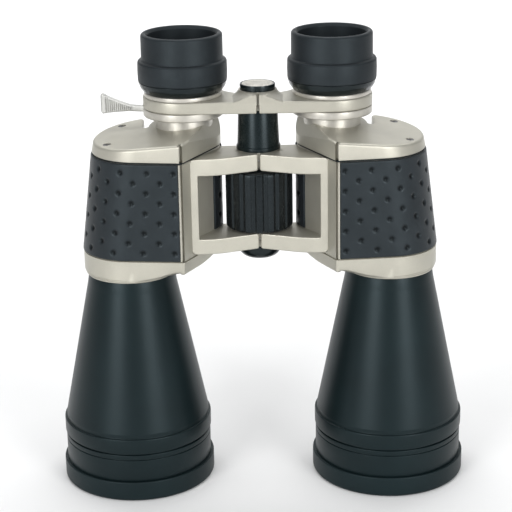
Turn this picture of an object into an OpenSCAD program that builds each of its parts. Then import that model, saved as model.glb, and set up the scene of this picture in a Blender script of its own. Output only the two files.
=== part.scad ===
// Porro-prism zoom binoculars, standing on their objectives.
// +Z runs from the objectives to the eyepieces, -Y is the top side in use, -X is the user's right half.
// Origin: on the floor, under the middle of the bounding box.

/* [Layout] */
// Distance between the two eyepiece axes
eyepiece_spacing = 68.6; // [67:0.1:70]
// Distance between the two objective axes
objective_spacing = 120.6; // [119:0.1:122]
// How far the eyepiece axes lie behind the objective axes
eyepiece_y = 12.8; // [12.4:0.1:13.2]
// How far the centre hinge lies behind the objective axes
hinge_y = 8; // [7.8:0.1:8.2]

/* [Objective end] */
// Outer radius of the objective hood
hood_r = 36.1; // [35.6:0.1:36.5]
// Height of the objective hood
hood_h = 9.7; // [9:0.1:10.5]
// Radius of the objective glass
objective_r = 31; // [29:0.5:31.5]
// Outer radius of the trim band above the hood
band_r = 34.7; // [34.4:0.1:35]
// Outer radius of the foot ring of the objective tube
tube_ring_r = 35.1; // [34.8:0.1:35.4]
// Radius of the cone just above the foot ring
cone_low_r = 34; // [33.5:0.1:34.5]
// Radius of the cone at its top end
cone_top_r = 20; // [19.4:0.1:21]

/* [Prism housing] */
// Radius of the outer lobe of the housing
lobe_r = 23.8; // [23.4:0.1:24.2]
// Radius of the eyepiece lobe of the housing
eye_lobe_r = 16.8; // [16.6:0.1:17.2]
// Distance of the front ridge from the middle plane
ridge_x = 33.8; // [33.6:0.1:34.2]
// Distance of the front ridge ahead of the objective axes
ridge_y = 23.3; // [22.8:0.1:23.6]
// Thickness of the rubber armour
armour_t = 1; // [0.8:0.1:1.2]
// Wall thickness of the castings and covers
wall = 2.2; // [1.8:0.1:2.4]

/* [Hinge and focus] */
// Radius of the hinge knuckles
knuckle_r = 9.9; // [9.5:0.1:10.2]
// Gap between the two halves at the middle plane
split_gap = 0.9; // [0.8:0.1:1.2]
// Radius of the focus wheel
wheel_r = 15.66; // [15:0.1:16]
// Number of flutes round the focus wheel
wheel_flutes = 18; // [12:1:24]
// Radius of the hinge shaft
shaft_r = 5; // [4.8:0.1:5.4]
// Radius of the focus screw
screw_r = 3.5; // [3.2:0.1:3.6]
// Radius of the tripod thread's wall
tripod_r = 3.175; // [3.1:0.005:3.25]

/* [Eyepieces] */
// Outer radius of the bridge ring and of the zoom ring
bridge_ring_r = 18.6; // [18.2:0.1:19]
// Outer radius of the eyecup's lower band
eyecup_band_r = 20.6; // [20.2:0.1:20.8]
// Outer radius of the eyecup's upper part
eyecup_top_r = 18.7; // [18.4:0.1:19]
// Inner radius of the eyecup's mouth
eyecup_mouth_r = 15.8; // [15:0.1:16]
// Outer radius of the sliding eyepiece tube
tube_r = 11; // [10.6:0.1:11.2]
// Angle by which the zoom lever leans back from the sideways direction
lever_lean = 12; // [8:1:16]
// Number of ribs on the zoom lever's grip
lever_ribs = 13; // [9:1:15]

/* [Hidden] */
$fn = 96;
slab = 0.02;            // thickness of the slices that lofts are hulled from
hull_fn = 64;           // facets of a slice
run = 0.05;             // radial clearance of running fits
clear = 0.3;            // clearance between parts that pass each other
eye_x = eyepiece_spacing / 2;
objective_x = objective_spacing / 2;

// Heights along Z
z_band = hood_h;
z_tube = 24;
z_tube_ring_top = 31;
z_cone_foot = 33;
z_cone_top = 103;
z_casting = 113.5;
z_seal = 159.5;
z_cover = 160.2;
z_cover_top = 168.6;
z_neck_top = 173.5;
z_zoom = 174.2;
z_bridge = 178;
z_bridge_top = 183.5;
z_collar_top = 185.4;
z_base_top = 190.3;
z_top = 212.3;
lower_arm = [113.5, 120.8];
upper_arm = [150.9, 158.8];
shelf = [137.4, 140.6];

// Housing plan: an outer lobe that leans outwards towards the floor, a sharp ridge and an eyepiece lobe
lobe_y = 2.9;
lobe_low_x = 58.7;
lobe_top_x = 51.8;
ridge_r = 1.5;
notch_x = 53.5;
notch_y = 12.7;
cover_skirt = 6;        // height of the front cover's side along the inner wall
front_collar_r = 21.3;  // radius of the front cover where it meets the cone
// The rear cover's top, per millimetre: its fall outwards and rise backwards from the ridge, and
// the fall inwards and rise backwards of the facet beside the centre
top_slope = [0.107, 0.052];
facet_slope = [-1.245, 0.5];
function lobe_x(z) = lobe_low_x + (lobe_top_x - lobe_low_x) * (z - z_casting) / (z_cover_top - z_casting);

tube_wall = 1.8;        // wall of the objective cone

// Prism pair: the light steps sideways from the objective axis to the fold, and on to the eyepiece axis
axis_step = [objective_x - eye_x, eyepiece_y];
step_angle = atan2(axis_step[1], axis_step[0]);
step = norm(axis_step) / sqrt(2);
fold = [-objective_x + step * cos(step_angle - 45), step * sin(step_angle - 45)];
prism_long = 2 * step - 1;
prism_wide = 19;
prism_tall = 17;
fold_pocket_r = 12;

// Hinge and focus stack
knuckle_split = 0.25;   // half the space for the washer between two knuckles
washer_t = 0.4;
wheel_z = [121.5, 150];
flute_r = 1.5;
flute_depth = 0.75;
head_r = 8;
z_head = 110.6;
z_cap = 106.7;
cap_r = 10;
cap_round = 4.5;
sleeve_foot_r = 10.2;
sleeve_top_r = 9.1;
z_sleeve_top = 177.9;
boss_r = 8.5;
z_boss_top = 186.6;
// Outlines of the flared boss: height, radius round the hinge, half width at the arm's front face
boss_flare = [[z_bridge_top, 11.6, 11.3], [184.9, 9.8, 7], [z_boss_top, 8.9, 3]];
z_top_cap = 189.3;

// Eyepiece stack
neck_r = 13.3;
shoulder_r = 14.4;
cell_r = 12.95;
collar_r = 18;
base_low_r = 17.9;
base_top_r = 20.4;
eye_lens_r = 11.6;
zoom_cell_r = 9.45;
tube_in_r = 9.5;
rim_round = 1.5;        // rounding of the eyecup's rim
lever_l = 20.9;         // reach of the zoom lever beyond its ring
lever_t = 2.6;          // thickness of the lever's plate
lever_drop = 1.8;       // how far the fan's lower edge falls below the neck
lever_rise = 5.4;       // how far the fan's upper edge rises above the neck

// ---------- Helpers ----------

// The right half (side -1) is drawn as it stands at -X; the left half (side 1) is its mirror image
module sided(side) mirror([side > 0 ? 1 : 0, 0, 0]) children();
module at_objective() translate([-objective_x, 0, 0]) children();
module at_eyepiece() translate([-eye_x, eyepiece_y, 0]) children();
module at_hinge() translate([0, hinge_y, 0]) children();

module disc(r, z0, z1) translate([0, 0, z0]) cylinder(r = r, h = z1 - z0);
module ring(r_out, r_in, z0, z1) difference() {
  disc(r_out, z0, z1);
  disc(r_in, z0 - 1, z1 + 1);
}

module lobe_slice(z, g) translate([-lobe_x(z), lobe_y, z]) cylinder(r = lobe_r + g, h = slab, $fn = hull_fn);
module ridge_post(z0, z1, g) translate([-ridge_x - ridge_r, -ridge_y + ridge_r, z0])
  cylinder(r = ridge_r + g, h = z1 - z0, $fn = 32);

// Outer lobe with its flat front face, grown by g, with the notch beside the eyepiece lobe cut out
module outer_lobe(z0, z1, g) difference() {
  hull() {
    lobe_slice(z0, g);
    lobe_slice(z1 - slab, g);
    ridge_post(z0, z1, g);
  }
  translate([-notch_x + g, notch_y + g, z0 - 1]) cube([40, 40, z1 - z0 + 2]);
}

// Eyepiece lobe and the slanting inner wall that runs from it to the ridge, grown by g
module eye_lobe(z0, z1, g) hull() {
  at_eyepiece() translate([0, 0, z0]) cylinder(r = eye_lobe_r + g, h = z1 - z0, $fn = hull_fn);
  ridge_post(z0, z1, g);
}

// Room for the prisms between two heights
module prism_pocket(z0, z1) {
  hull() {
    lobe_slice(z0, -wall);
    lobe_slice(z1 - slab, -wall);
    translate([fold[0], fold[1], z0]) cylinder(r = fold_pocket_r, h = z1 - z0, $fn = hull_fn);
  }
  hull() {
    at_eyepiece() translate([0, 0, z0]) cylinder(r = eye_lobe_r - wall, h = z1 - z0, $fn = hull_fn);
    translate([fold[0], fold[1], z0]) cylinder(r = fold_pocket_r, h = z1 - z0, $fn = hull_fn);
  }
}

// ---------- Housing ----------

// Plan of one hinge arm, from the slanting inner wall to the middle plane
module arm_plan() polygon([
  [-31.2, -15.9], [-split_gap / 2, -4.5], [-split_gap / 2, hinge_y],
  [-9, 12.5], [-24, 12.5], [-31, -4]
]);

// One arm with its knuckle; the upper knuckle is the right half's, the lower one is the left half's
module hinge_arm(side, z) {
  middle = (z[0] + z[1]) / 2;
  mine = side < 0 ? [middle + knuckle_split, z[1]] : [z[0], middle - knuckle_split];
  other = side < 0 ? [z[0] - 1, middle + knuckle_split] : [middle - knuckle_split, z[1] + 1];
  difference() {
    union() {
      translate([0, 0, z[0]]) linear_extrude(z[1] - z[0]) arm_plan();
      at_hinge() disc(knuckle_r, mine[0], mine[1]);
    }
    at_hinge() disc(knuckle_r + clear, other[0], other[1]);
    at_hinge() disc(shaft_r + run, z[0] - 1, z[1] + 1);
  }
}

// Prism housing: walls, prism shelf with three light windows, and the two hinge arms with their upright
module casting(side) sided(side) color("silver") {
  difference() {
    union() {
      outer_lobe(z_casting, z_seal, -armour_t + clear);
      eye_lobe(z_casting, z_seal, -armour_t + clear);
      translate([0, 0, lower_arm[0]]) linear_extrude(upper_arm[1] - lower_arm[0])
        polygon([[-31.2, -15.9], [-27.6, -14.6], [-27.6, -9], [-31.2, -9]]);
      hinge_arm(side, lower_arm);
      hinge_arm(side, upper_arm);
    }
    prism_pocket(z_casting - 1, shelf[0]);
    prism_pocket(shelf[1], z_seal + 1);
    at_objective() disc(9, shelf[0] - 1, shelf[1] + 1);
    at_eyepiece() disc(9, shelf[0] - 1, shelf[1] + 1);
    translate([fold[0], fold[1], 0]) disc(9, shelf[0] - 1, shelf[1] + 1);
  }
}

// Everything above a slope that leaves the ridge at the cover's top
module above_slope(slope) translate([-ridge_x, -ridge_y, z_cover_top])
  multmatrix([[1, 0, 0, 0], [0, 1, 0, 0], [slope[0], slope[1], 1, 0], [0, 0, 0, 1]])
    translate([-60, -20, 0]) cube([100, 100, 60]);

// Rear (eyepiece side) cover; its flat top falls outwards and rises backwards from the ridge
module rear_cover(side) sided(side) color("silver") difference() {
  union() {
    outer_lobe(z_cover, z_cover_top + 5, 0);
    eye_lobe(z_cover, z_cover_top + 5, 0);
  }
  above_slope(top_slope);
  above_slope(facet_slope);
  prism_pocket(z_cover - 1, z_cover_top - 5);
  at_eyepiece() disc(neck_r, z_cover - 1, z_cover_top + 5);
  for (p = screw_places) translate([p[0], p[1], cover_top(p) - pit]) cylinder(r = 1.9, h = 5);
}
screw_places = [[-68.5, -8], [-63.5, 18]];
pit = 1.1;              // depth of the screws' pits
function cover_top(p) = z_cover_top + top_slope * (p + [ridge_x, ridge_y]);

module cover_screws(side) sided(side) color("dimgray") for (p = screw_places)
  translate([p[0], p[1], cover_top(p) - pit]) difference() {
    cylinder(r = 1.8, h = 0.9);
    translate([-0.25, -2, 0.5]) cube([0.5, 4, 1]);
  }

// Thin gasket in the parting line under the rear cover
module cover_seal(side) sided(side) color("black") difference() {
  union() {
    outer_lobe(z_seal, z_cover, -0.6);
    eye_lobe(z_seal, z_cover, -0.6);
  }
  prism_pocket(z_seal - 1, z_cover + 1);
}

// Front (objective side) cover: a dish from the housing plan down to a round collar for the objective tube
module front_cover(side) sided(side) color("silver") difference() {
  union() {
    difference() {
      hull() {
        lobe_slice(z_casting - slab, 0);
        ridge_post(z_casting - cover_skirt, z_casting, 0);
        at_objective() translate([0, 0, z_cone_top]) cylinder(r = front_collar_r, h = slab, $fn = hull_fn);
      }
      translate([-notch_x, notch_y, z_casting - 20]) cube([40, 40, 30]);
    }
    eye_lobe(z_casting - cover_skirt, z_casting, 0);
  }
  hull() {
    lobe_slice(z_casting + 1, -3);
    at_objective() translate([0, 0, z_cone_top + 2.5]) cylinder(r = 18.5, h = slab, $fn = hull_fn);
  }
  at_eyepiece() disc(eye_lobe_r - wall - 1, z_casting - cover_skirt + wall, z_casting + 1);
  at_objective() disc(17, z_cone_top - 1, z_casting + 1);
}

// Rubber skin round the outer lobe and the back of the eyepiece lobe
module armour(side) sided(side) color([0.10, 0.12, 0.12]) difference() {
  union() {
    outer_lobe(z_casting + 0.5, z_seal - 0.1, clear);
    eye_lobe(z_casting + 0.5, z_seal - 0.1, clear);
  }
  outer_lobe(z_casting - 1, z_seal + 1, -armour_t + clear);
  eye_lobe(z_casting - 1, z_seal + 1, -armour_t + clear);
  translate([-ridge_x - 2.4, -40, z_casting - 1]) cube([60, 43, 60]);
  for (z = [[z_casting - 1, lower_arm[1] + clear], [upper_arm[0] - clear, z_seal + 1]])
    translate([-eye_x, -20, z[0]]) cube([30, 33, z[1] - z[0]]);
}

// ---------- Optics in the housing ----------

// Roof-shaped prism between two points of the light path, its long face at z, its roof up (1) or down (-1)
module prism(from, to, z, up) {
  middle = (from + to) / 2;
  turn = atan2(to[1] - from[1], to[0] - from[0]);
  translate([middle[0], middle[1], z]) rotate([0, 0, turn]) mirror([0, 0, up > 0 ? 0 : 1])
    intersection() {
      rotate([90, 0, 0]) linear_extrude(prism_wide, center = true) polygon([
        [-prism_long / 2, 0], [prism_long / 2, 0],
        [prism_long / 2 - prism_tall, prism_tall], [-prism_long / 2 + prism_tall, prism_tall]
      ]);
      union() {
        for (x = [-step / 2, step / 2]) translate([x, 0, -1]) cylinder(r = fold_pocket_r - 0.3, h = prism_tall + 2);
        translate([-step / 2, -prism_wide / 2, -1]) cube([step, prism_wide, prism_tall + 2]);
      }
    }
}
module rear_prism(side) sided(side) color("lightcyan") prism([-objective_x, 0], fold, shelf[1], 1);
module front_prism(side) sided(side) color("lightcyan") prism(fold, [-eye_x, eyepiece_y], shelf[0], -1);

// Spring straps that hold both prisms on the shelf
module prism_strap(from, to, z, up) {
  middle = (from + to) / 2;
  turn = atan2(to[1] - from[1], to[0] - from[0]);
  translate([middle[0], middle[1], z]) rotate([0, 0, turn]) mirror([0, 0, up > 0 ? 0 : 1]) {
    translate([-2.5, -prism_wide / 2 - 0.6, prism_tall]) cube([5, prism_wide + 1.2, 0.5]);
    for (y = [-prism_wide / 2 - 0.6, prism_wide / 2 + 0.1]) translate([-2.5, y, 0]) cube([5, 0.5, prism_tall + 0.5]);
  }
}
module prism_clips(side) sided(side) color("gray") {
  prism_strap([-objective_x, 0], fold, shelf[1], 1);
  prism_strap(fold, [-eye_x, eyepiece_y], shelf[0], -1);
}

// ---------- Objectives ----------

// Long black cone that screws into the front cover
module objective_tube(side) sided(side) at_objective() color([0.07, 0.07, 0.08]) rotate_extrude() polygon([
  [objective_r + 0.2, z_tube], [tube_ring_r, z_tube], [tube_ring_r, z_tube_ring_top],
  [cone_low_r, z_tube_ring_top], [cone_low_r, z_cone_foot], [20.9, 97.4], [cone_top_r, z_cone_top],
  [17, z_cone_top], [17, z_casting], [15, z_casting], [15, z_cone_top - 1.6], [19, 97],
  [cone_low_r - tube_wall, z_cone_foot], [cone_low_r - tube_wall, z_tube_ring_top - 2],
  [objective_r + 0.2, z_tube_ring_top - 4]
]);

// Trim band that clamps the objective glass in the tube
module objective_band(side) sided(side) at_objective() color([0.07, 0.07, 0.08]) rotate_extrude() polygon([
  [objective_r, z_band], [band_r, z_band], [band_r, 20.3], [band_r - 0.5, 20.5], [band_r, 20.7],
  [band_r, 22.9], [band_r - 0.8, 23.1], [band_r - 0.8, z_tube], [objective_r, z_tube]
]);

// Hood at the mouth of the objective, with a rounded rim that the binoculars stand on
module objective_hood(side) sided(side) at_objective() color([0.09, 0.09, 0.10]) rotate_extrude() polygon(concat(
  [[objective_r + 1.2, 0]],
  [for (a = [270:15:360]) [hood_r - 1.6 + 1.6 * cos(a), 1.6 + 1.6 * sin(a)]],
  [[hood_r, z_band], [objective_r, z_band]]
));

// Objective doublet, thickest in the middle
module objective_lens(side) sided(side) at_objective() color([0.45, 0.6, 0.75, 0.5]) rotate_extrude() polygon(concat(
  [[0, 13]],
  [for (i = [0:8]) [objective_r * i / 8, 13 + 4 * pow(i / 8, 2)]],
  [for (i = [8:-1:0]) [objective_r * i / 8, 24 - 2 * pow(i / 8, 2)]]
));

// ---------- Hinge and focus ----------

// Hollow hinge shaft with a broad head under the lower knuckles
module hinge_shaft() at_hinge() color("gray") difference() {
  union() {
    disc(head_r, z_head, lower_arm[0] - 0.05);
    disc(shaft_r, lower_arm[0] - 0.05, upper_arm[1]);
  }
  disc(4.4, z_head - 1, 121);
  disc(screw_r + run, 123.5, upper_arm[1] + 1);
}

// Threaded insert for a tripod adapter
module tripod_bush() at_hinge() color("goldenrod") ring(4.4, tripod_r, z_head, 121);

module hinge_washers() at_hinge() color("gray") for (z = [lower_arm, upper_arm])
  ring(knuckle_r - 0.5, shaft_r, (z[0] + z[1] - washer_t) / 2, (z[0] + z[1] + washer_t) / 2);

// Pull-off dome over the tripod thread
module front_cap() at_hinge() color([0.06, 0.06, 0.06]) rotate_extrude() polygon(concat(
  [[0, z_cap]],
  [for (a = [270:15:360]) [cap_r - cap_round + cap_round * cos(a), z_cap + cap_round + cap_round * sin(a)]],
  [[cap_r, lower_arm[0] - 0.1], [head_r + run, lower_arm[0] - 0.1], [head_r + run, z_head - 0.1], [0, z_head - 0.1]]
));

// Tapered sleeve between the housing's hinge and the bridge
module focus_sleeve() at_hinge() color([0.06, 0.06, 0.06]) rotate_extrude() polygon([
  [6.5, upper_arm[1]], [sleeve_foot_r, upper_arm[1]], [sleeve_foot_r, upper_arm[1] + 1.6],
  [sleeve_foot_r - 0.4, upper_arm[1] + 2], [sleeve_top_r, z_sleeve_top], [6.5, z_sleeve_top]
]);

// Focus wheel: a spoked core that runs on the shaft, and a fluted grip round it
module focus_wheel() at_hinge() color([0.05, 0.05, 0.05]) {
  ring(7.5, shaft_r + run, wheel_z[0], wheel_z[1]);
  for (z = [wheel_z[0], 134, wheel_z[1] - 2.5]) ring(12, 7.5, z, z + 2.5);
  ring(12, 10, wheel_z[0], wheel_z[1]);
}
module focus_grip() at_hinge() color([0.07, 0.07, 0.07]) difference() {
  rotate_extrude() polygon([
    [12, wheel_z[0]], [wheel_r - 1.2, wheel_z[0]], [wheel_r, wheel_z[0] + 1.2],
    [wheel_r, wheel_z[1] - 1.2], [wheel_r - 1.2, wheel_z[1]], [12, wheel_z[1]]
  ]);
  for (i = [0:wheel_flutes - 1]) rotate([0, 0, i * 360 / wheel_flutes])
    translate([wheel_r + flute_r - flute_depth, 0, wheel_z[0] - 1]) cylinder(r = flute_r, h = 40, $fn = 24);
}

// Screw that the wheel drives up and down; it carries the bridge
module focus_screw() at_hinge() color("goldenrod") disc(screw_r, 124, z_boss_top);

// Half of the bridge: a ring round the eyepiece, a flat arm and half of the flared boss
module bridge_arm(side) {
  middle = 180.5;
  mine = side < 0 ? [middle + 0.1, z_boss_top] : [z_bridge, middle - 0.1];
  other = side < 0 ? [z_bridge - 1, middle + 0.1] : [middle - 0.1, z_boss_top + 1];
  front_y = eyepiece_y - bridge_ring_r;
  half_gap = split_gap / 2 + 0.1;
  sided(side) color("silver") difference() {
    union() {
      at_eyepiece() disc(bridge_ring_r, z_bridge, z_bridge_top);
      translate([0, 0, z_bridge]) linear_extrude(z_bridge_top - z_bridge) polygon([
        [-eye_x, front_y], [-half_gap, front_y], [-half_gap, hinge_y], [-9, 13.2], [-14, 17], [-24, 24.8], [-eye_x, 20]
      ]);
      intersection() {
        for (i = [0, 1]) hull() for (f = [boss_flare[i], boss_flare[i + 1]]) {
          at_hinge() disc(f[1], f[0] - slab, f[0]);
          translate([-f[2], front_y, f[0] - slab]) cube([2 * f[2], slab, slab]);
        }
        translate([-20, front_y, z_bridge]) cube([20 - half_gap, 13.2 - front_y, 20]);
      }
      at_hinge() disc(boss_r, mine[0], mine[1]);
    }
    at_hinge() disc(boss_r + clear, other[0], other[1]);
    at_hinge() disc(side < 0 ? screw_r : screw_r + run, z_bridge - 1, z_boss_top + 1);
    at_eyepiece() disc(shoulder_r, z_bridge - 1, z_bridge_top + 1);
  }
}

module top_cap() at_hinge() color([0.06, 0.06, 0.06]) difference() {
  rotate_extrude() polygon([
    [0, z_boss_top], [8.2, z_boss_top], [8.2, z_top_cap - 0.5], [7.7, z_top_cap], [0, z_top_cap]
  ]);
  disc(7.3, z_top_cap - 0.4, z_top_cap + 1);
}
module emblem_disc() at_hinge() color("silver") disc(7.2, z_top_cap - 0.4, z_top_cap);

// ---------- Eyepieces ----------

// Fixed neck on the rear cover that guides the sliding tube
module eyepiece_guide(side) sided(side) at_eyepiece() color("silver")
  ring(neck_r, tube_r + run, z_cover_top - 5, z_neck_top);

// Sliding tube with the wide shoulder that the bridge ring grips
module eyepiece_tube(side) sided(side) at_eyepiece() color("dimgray") rotate_extrude() polygon([
  [tube_in_r, 152], [tube_r, 152], [tube_r, z_bridge], [shoulder_r, z_bridge], [shoulder_r, z_collar_top - 0.2],
  [cell_r + run, z_collar_top - 0.2], [cell_r + run, z_bridge + 1.5], [tube_in_r, z_bridge + 1.5]
]);

// Silver collar on the bridge ring; the left one turns and sets the dioptres
module collar_ring(side) sided(side) at_eyepiece() color("silver")
  ring(collar_r, shoulder_r + run, z_bridge_top + 0.05, z_collar_top);

module zoom_ring(side) sided(side) at_eyepiece() color("silver")
  ring(bridge_ring_r, tube_r + run, z_zoom, z_bridge - 0.1);

// Lever on the right zoom ring: a thin upright plate that opens from a low neck into a tall ribbed fan
module zoom_lever() sided(-1) at_eyepiece() rotate([0, 0, 180 - lever_lean]) color("silver") {
  neck = bridge_ring_r + 5;
  tip = bridge_ring_r + lever_l;
  difference() {
    rotate([90, 0, 0]) linear_extrude(lever_t, center = true) polygon(concat(
      [[bridge_ring_r - 1, z_zoom + 0.5]],
      [for (i = [0:6]) [neck + (tip - neck) * i / 6, z_zoom + 0.5 - lever_drop * pow(i / 6, 1.5)]],
      [for (i = [6:-1:0]) [neck + (tip - neck) * i / 6, z_zoom + 3.4 + lever_rise * pow(i / 6, 1.3)]],
      [[bridge_ring_r - 1, z_zoom + 3.4]]
    ));
    disc(bridge_ring_r, z_zoom - 2, z_bridge + 8);
  }
  for (i = [0:lever_ribs - 1]) {
    x = neck + 1.5 + (tip - neck - 4) * i / (lever_ribs - 1);
    f = (x - neck) / (tip - neck);
    z0 = z_zoom + 0.8 - lever_drop * pow(f, 1.5);
    for (y = [-lever_t / 2 - 0.4, lever_t / 2]) translate([x - 0.3, y, z0])
      cube([0.6, 0.4, z_zoom + 3.1 + lever_rise * pow(f, 1.3) - z0]);
  }
}

// Sliding cell with the moving zoom glass
module zoom_cell(side) sided(side) at_eyepiece() color([0.12, 0.12, 0.12]) ring(zoom_cell_r, 8, 154, 160);
module zoom_lens(side) sided(side) at_eyepiece() color([0.45, 0.6, 0.75, 0.5]) disc(8, 155.5, 158.5);

// Ocular cell, its glass, its dark base ring and the rubber eyecup
module ocular_cell(side) sided(side) at_eyepiece() color([0.06, 0.06, 0.06]) rotate_extrude() polygon([
  [eye_lens_r, z_bridge + 3.5], [cell_r, z_bridge + 3.5], [cell_r, 196],
  [eye_lens_r - 0.8, 196], [eye_lens_r - 0.8, 194.5], [eye_lens_r, 194.5]
]);
module eye_lens(side) sided(side) at_eyepiece() color([0.45, 0.6, 0.75, 0.5]) rotate_extrude() polygon(concat(
  [[0, 187.5], [eye_lens_r, 187.5], [eye_lens_r, 192.5]],
  [for (i = [7:-1:0]) [eye_lens_r * i / 8, 194.3 - 1.8 * pow(i / 8, 2)]]
));
module eyecup_base(side) sided(side) at_eyepiece() color([0.08, 0.08, 0.09]) rotate_extrude() polygon([
  [16.8, z_collar_top + 0.05], [base_low_r, z_collar_top + 0.05], [base_low_r + 1, 186.8],
  [base_top_r - 0.7, 188], [base_top_r, z_base_top], [cell_r, z_base_top], [cell_r, 186.8], [16.8, 186.8]
]);
module eyecup(side) sided(side) at_eyepiece() color([0.08, 0.08, 0.08]) rotate_extrude() polygon(concat(
  [[cell_r, z_base_top], [eyecup_band_r - 0.4, z_base_top], [eyecup_band_r, z_base_top + 0.6],
   [eyecup_band_r, 199.2], [eyecup_band_r - 0.4, 199.8], [eyecup_top_r, 200.2]],
  [for (a = [0:15:105]) [eyecup_top_r - rim_round * (1 - cos(a)), z_top - rim_round * (1 - sin(a))]],
  [[eyecup_mouth_r + 0.3, 211], [eyecup_mouth_r, 210.6], [eyecup_mouth_r, 202.8], [cell_r, 202.4]]
));

// ---------- Assembly ----------

casting(-1);  // right_casting
casting(1);  // left_casting
rear_cover(-1);  // right_rear_cover
rear_cover(1);  // left_rear_cover
cover_seal(-1);  // right_cover_seal
cover_seal(1);  // left_cover_seal
front_cover(-1);  // right_front_cover
front_cover(1);  // left_front_cover
armour(-1);  // right_armour
armour(1);  // left_armour
objective_tube(-1);  // right_objective_tube
objective_tube(1);  // left_objective_tube
objective_band(-1);  // right_objective_band
objective_band(1);  // left_objective_band
objective_hood(-1);  // right_objective_hood
objective_hood(1);  // left_objective_hood
objective_lens(-1);  // right_objective_lens
objective_lens(1);  // left_objective_lens
rear_prism(-1);  // right_rear_prism
rear_prism(1);  // left_rear_prism
front_prism(-1);  // right_front_prism
front_prism(1);  // left_front_prism
prism_clips(-1);  // right_prism_clips
prism_clips(1);  // left_prism_clips
eyepiece_guide(-1);  // right_eyepiece_guide
eyepiece_guide(1);  // left_eyepiece_guide
cover_screws(-1);  // right_cover_screws
cover_screws(1);  // left_cover_screws
hinge_shaft();
tripod_bush();
hinge_washers();
focus_sleeve();
front_cap();
focus_wheel();
focus_grip();
focus_screw();
bridge_arm(-1);  // right_bridge_arm
bridge_arm(1);  // left_bridge_arm
top_cap();
emblem_disc();
eyepiece_tube(-1);  // right_eyepiece_tube
eyepiece_tube(1);  // left_eyepiece_tube
collar_ring(-1);  // right_collar_ring
collar_ring(1);  // left_diopter_ring
zoom_ring(-1);  // right_zoom_ring
zoom_ring(1);  // left_zoom_ring
zoom_lever();
zoom_cell(-1);  // right_zoom_cell
zoom_cell(1);  // left_zoom_cell
zoom_lens(-1);  // right_zoom_lens
zoom_lens(1);  // left_zoom_lens
ocular_cell(-1);  // right_ocular_cell
ocular_cell(1);  // left_ocular_cell
eyecup_base(-1);  // right_eyecup_base
eyecup_base(1);  // left_eyecup_base
eyecup(-1);  // right_eyecup
eyecup(1);  // left_eyecup
eye_lens(-1);  // right_eye_lens
eye_lens(1);  // left_eye_lens
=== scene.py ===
"""Porro-prism zoom binoculars: satin silver housings, rubber armour and black objective cones.

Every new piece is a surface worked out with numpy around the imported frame. Lengths in the tables and
formulas are millimetres until the last step, which makes them metres.
"""
import math

import bpy
import numpy as np
from mathutils import Matrix, Vector


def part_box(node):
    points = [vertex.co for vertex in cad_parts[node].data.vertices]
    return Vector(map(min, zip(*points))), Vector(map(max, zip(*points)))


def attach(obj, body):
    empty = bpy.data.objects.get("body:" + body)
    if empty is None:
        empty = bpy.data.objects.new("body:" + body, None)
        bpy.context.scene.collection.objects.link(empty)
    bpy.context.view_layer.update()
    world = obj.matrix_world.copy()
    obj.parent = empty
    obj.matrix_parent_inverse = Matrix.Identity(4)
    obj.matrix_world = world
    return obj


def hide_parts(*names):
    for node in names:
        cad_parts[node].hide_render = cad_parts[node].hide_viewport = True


bl_info = {
    "name": "Zoom binoculars",
    "version": (1, 0, 0),
    "blender": (4, 5, 0),
    "location": "View3D > Sidebar > Binoculars",
    "description": "Builds the visible shells, barrels and finishes of a pair of zoom binoculars",
    "category": "Add Mesh",
}

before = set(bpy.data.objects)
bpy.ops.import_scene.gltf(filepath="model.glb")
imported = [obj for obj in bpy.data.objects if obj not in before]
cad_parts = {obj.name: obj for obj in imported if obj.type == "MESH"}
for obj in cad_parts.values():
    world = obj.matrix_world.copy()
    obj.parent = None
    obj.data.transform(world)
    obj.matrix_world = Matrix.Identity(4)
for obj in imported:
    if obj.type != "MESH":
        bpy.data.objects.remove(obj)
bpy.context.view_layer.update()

MM = 0.001
SIDES = {"right": -1, "left": 1}


def box_mm(node):
    """The lowest and highest corner of a CAD node, in millimetres."""
    low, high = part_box(node)
    return np.array(low) / MM, np.array(high) / MM


def axis_of(node):
    """Where the upright axis of a round CAD node stands, in millimetres, for the right half."""
    low, high = box_mm(node)
    return (low[:2] + high[:2]) / 2


OBJECTIVE = axis_of("right_objective_hood")
EYEPIECE = axis_of("right_eyecup")
HINGE = axis_of("focus_sleeve")

# Heights and boxes taken from the frame
Z_CASTING = box_mm("right_front_cover")[1][2]
Z_CONE_TOP = box_mm("right_front_cover")[0][2]
Z_SEAL = box_mm("right_cover_seal")[0][2]
Z_COVER = box_mm("right_cover_seal")[1][2]
Z_ZOOM = box_mm("right_zoom_ring")[0][2]
Z_BRIDGE = box_mm("left_bridge_arm")[0][2]
Z_WHEEL = box_mm("focus_grip")
Z_SLEEVE = box_mm("focus_sleeve")
Z_FRONT_CAP = box_mm("front_cap")
Z_TOP_CAP = box_mm("top_cap")

# Housing plan, as in the castings: an outer lobe that leans outwards towards the floor,
# a ridge at the front and an eyepiece lobe, with a slot between the lobes
LOBE_R = 23.8
LOBE_Y = 2.9
LOBE_X_LOW = -58.7
LOBE_LEAN = 6.9 / 55.1
EYE_LOBE_R = 16.8
RIDGE = np.array([-35.3, -21.8])
RIDGE_R = 1.5
RIDGE_MIN_R = 0.35
RIDGE_SHIFT = 1.173 * np.array([-0.482, 0.876])
NOTCH_X = -53.5
NOTCH_FILLET = 2.0
RIDGE_TOP = np.array([-33.8, -23.3, 168.6])
TOP_SLOPE = (0.107, 0.052)
FACET_SLOPE = (-1.245, 0.5)
RUBBER_START_X = -36.2
RUBBER_INNER_END = 0.10
ARM_LEVELS = ((113.5, 120.8), (150.9, 158.8))
SPLIT = 0.45
KNUCKLE_R = 9.9


# ---------- Settings ----------

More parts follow.
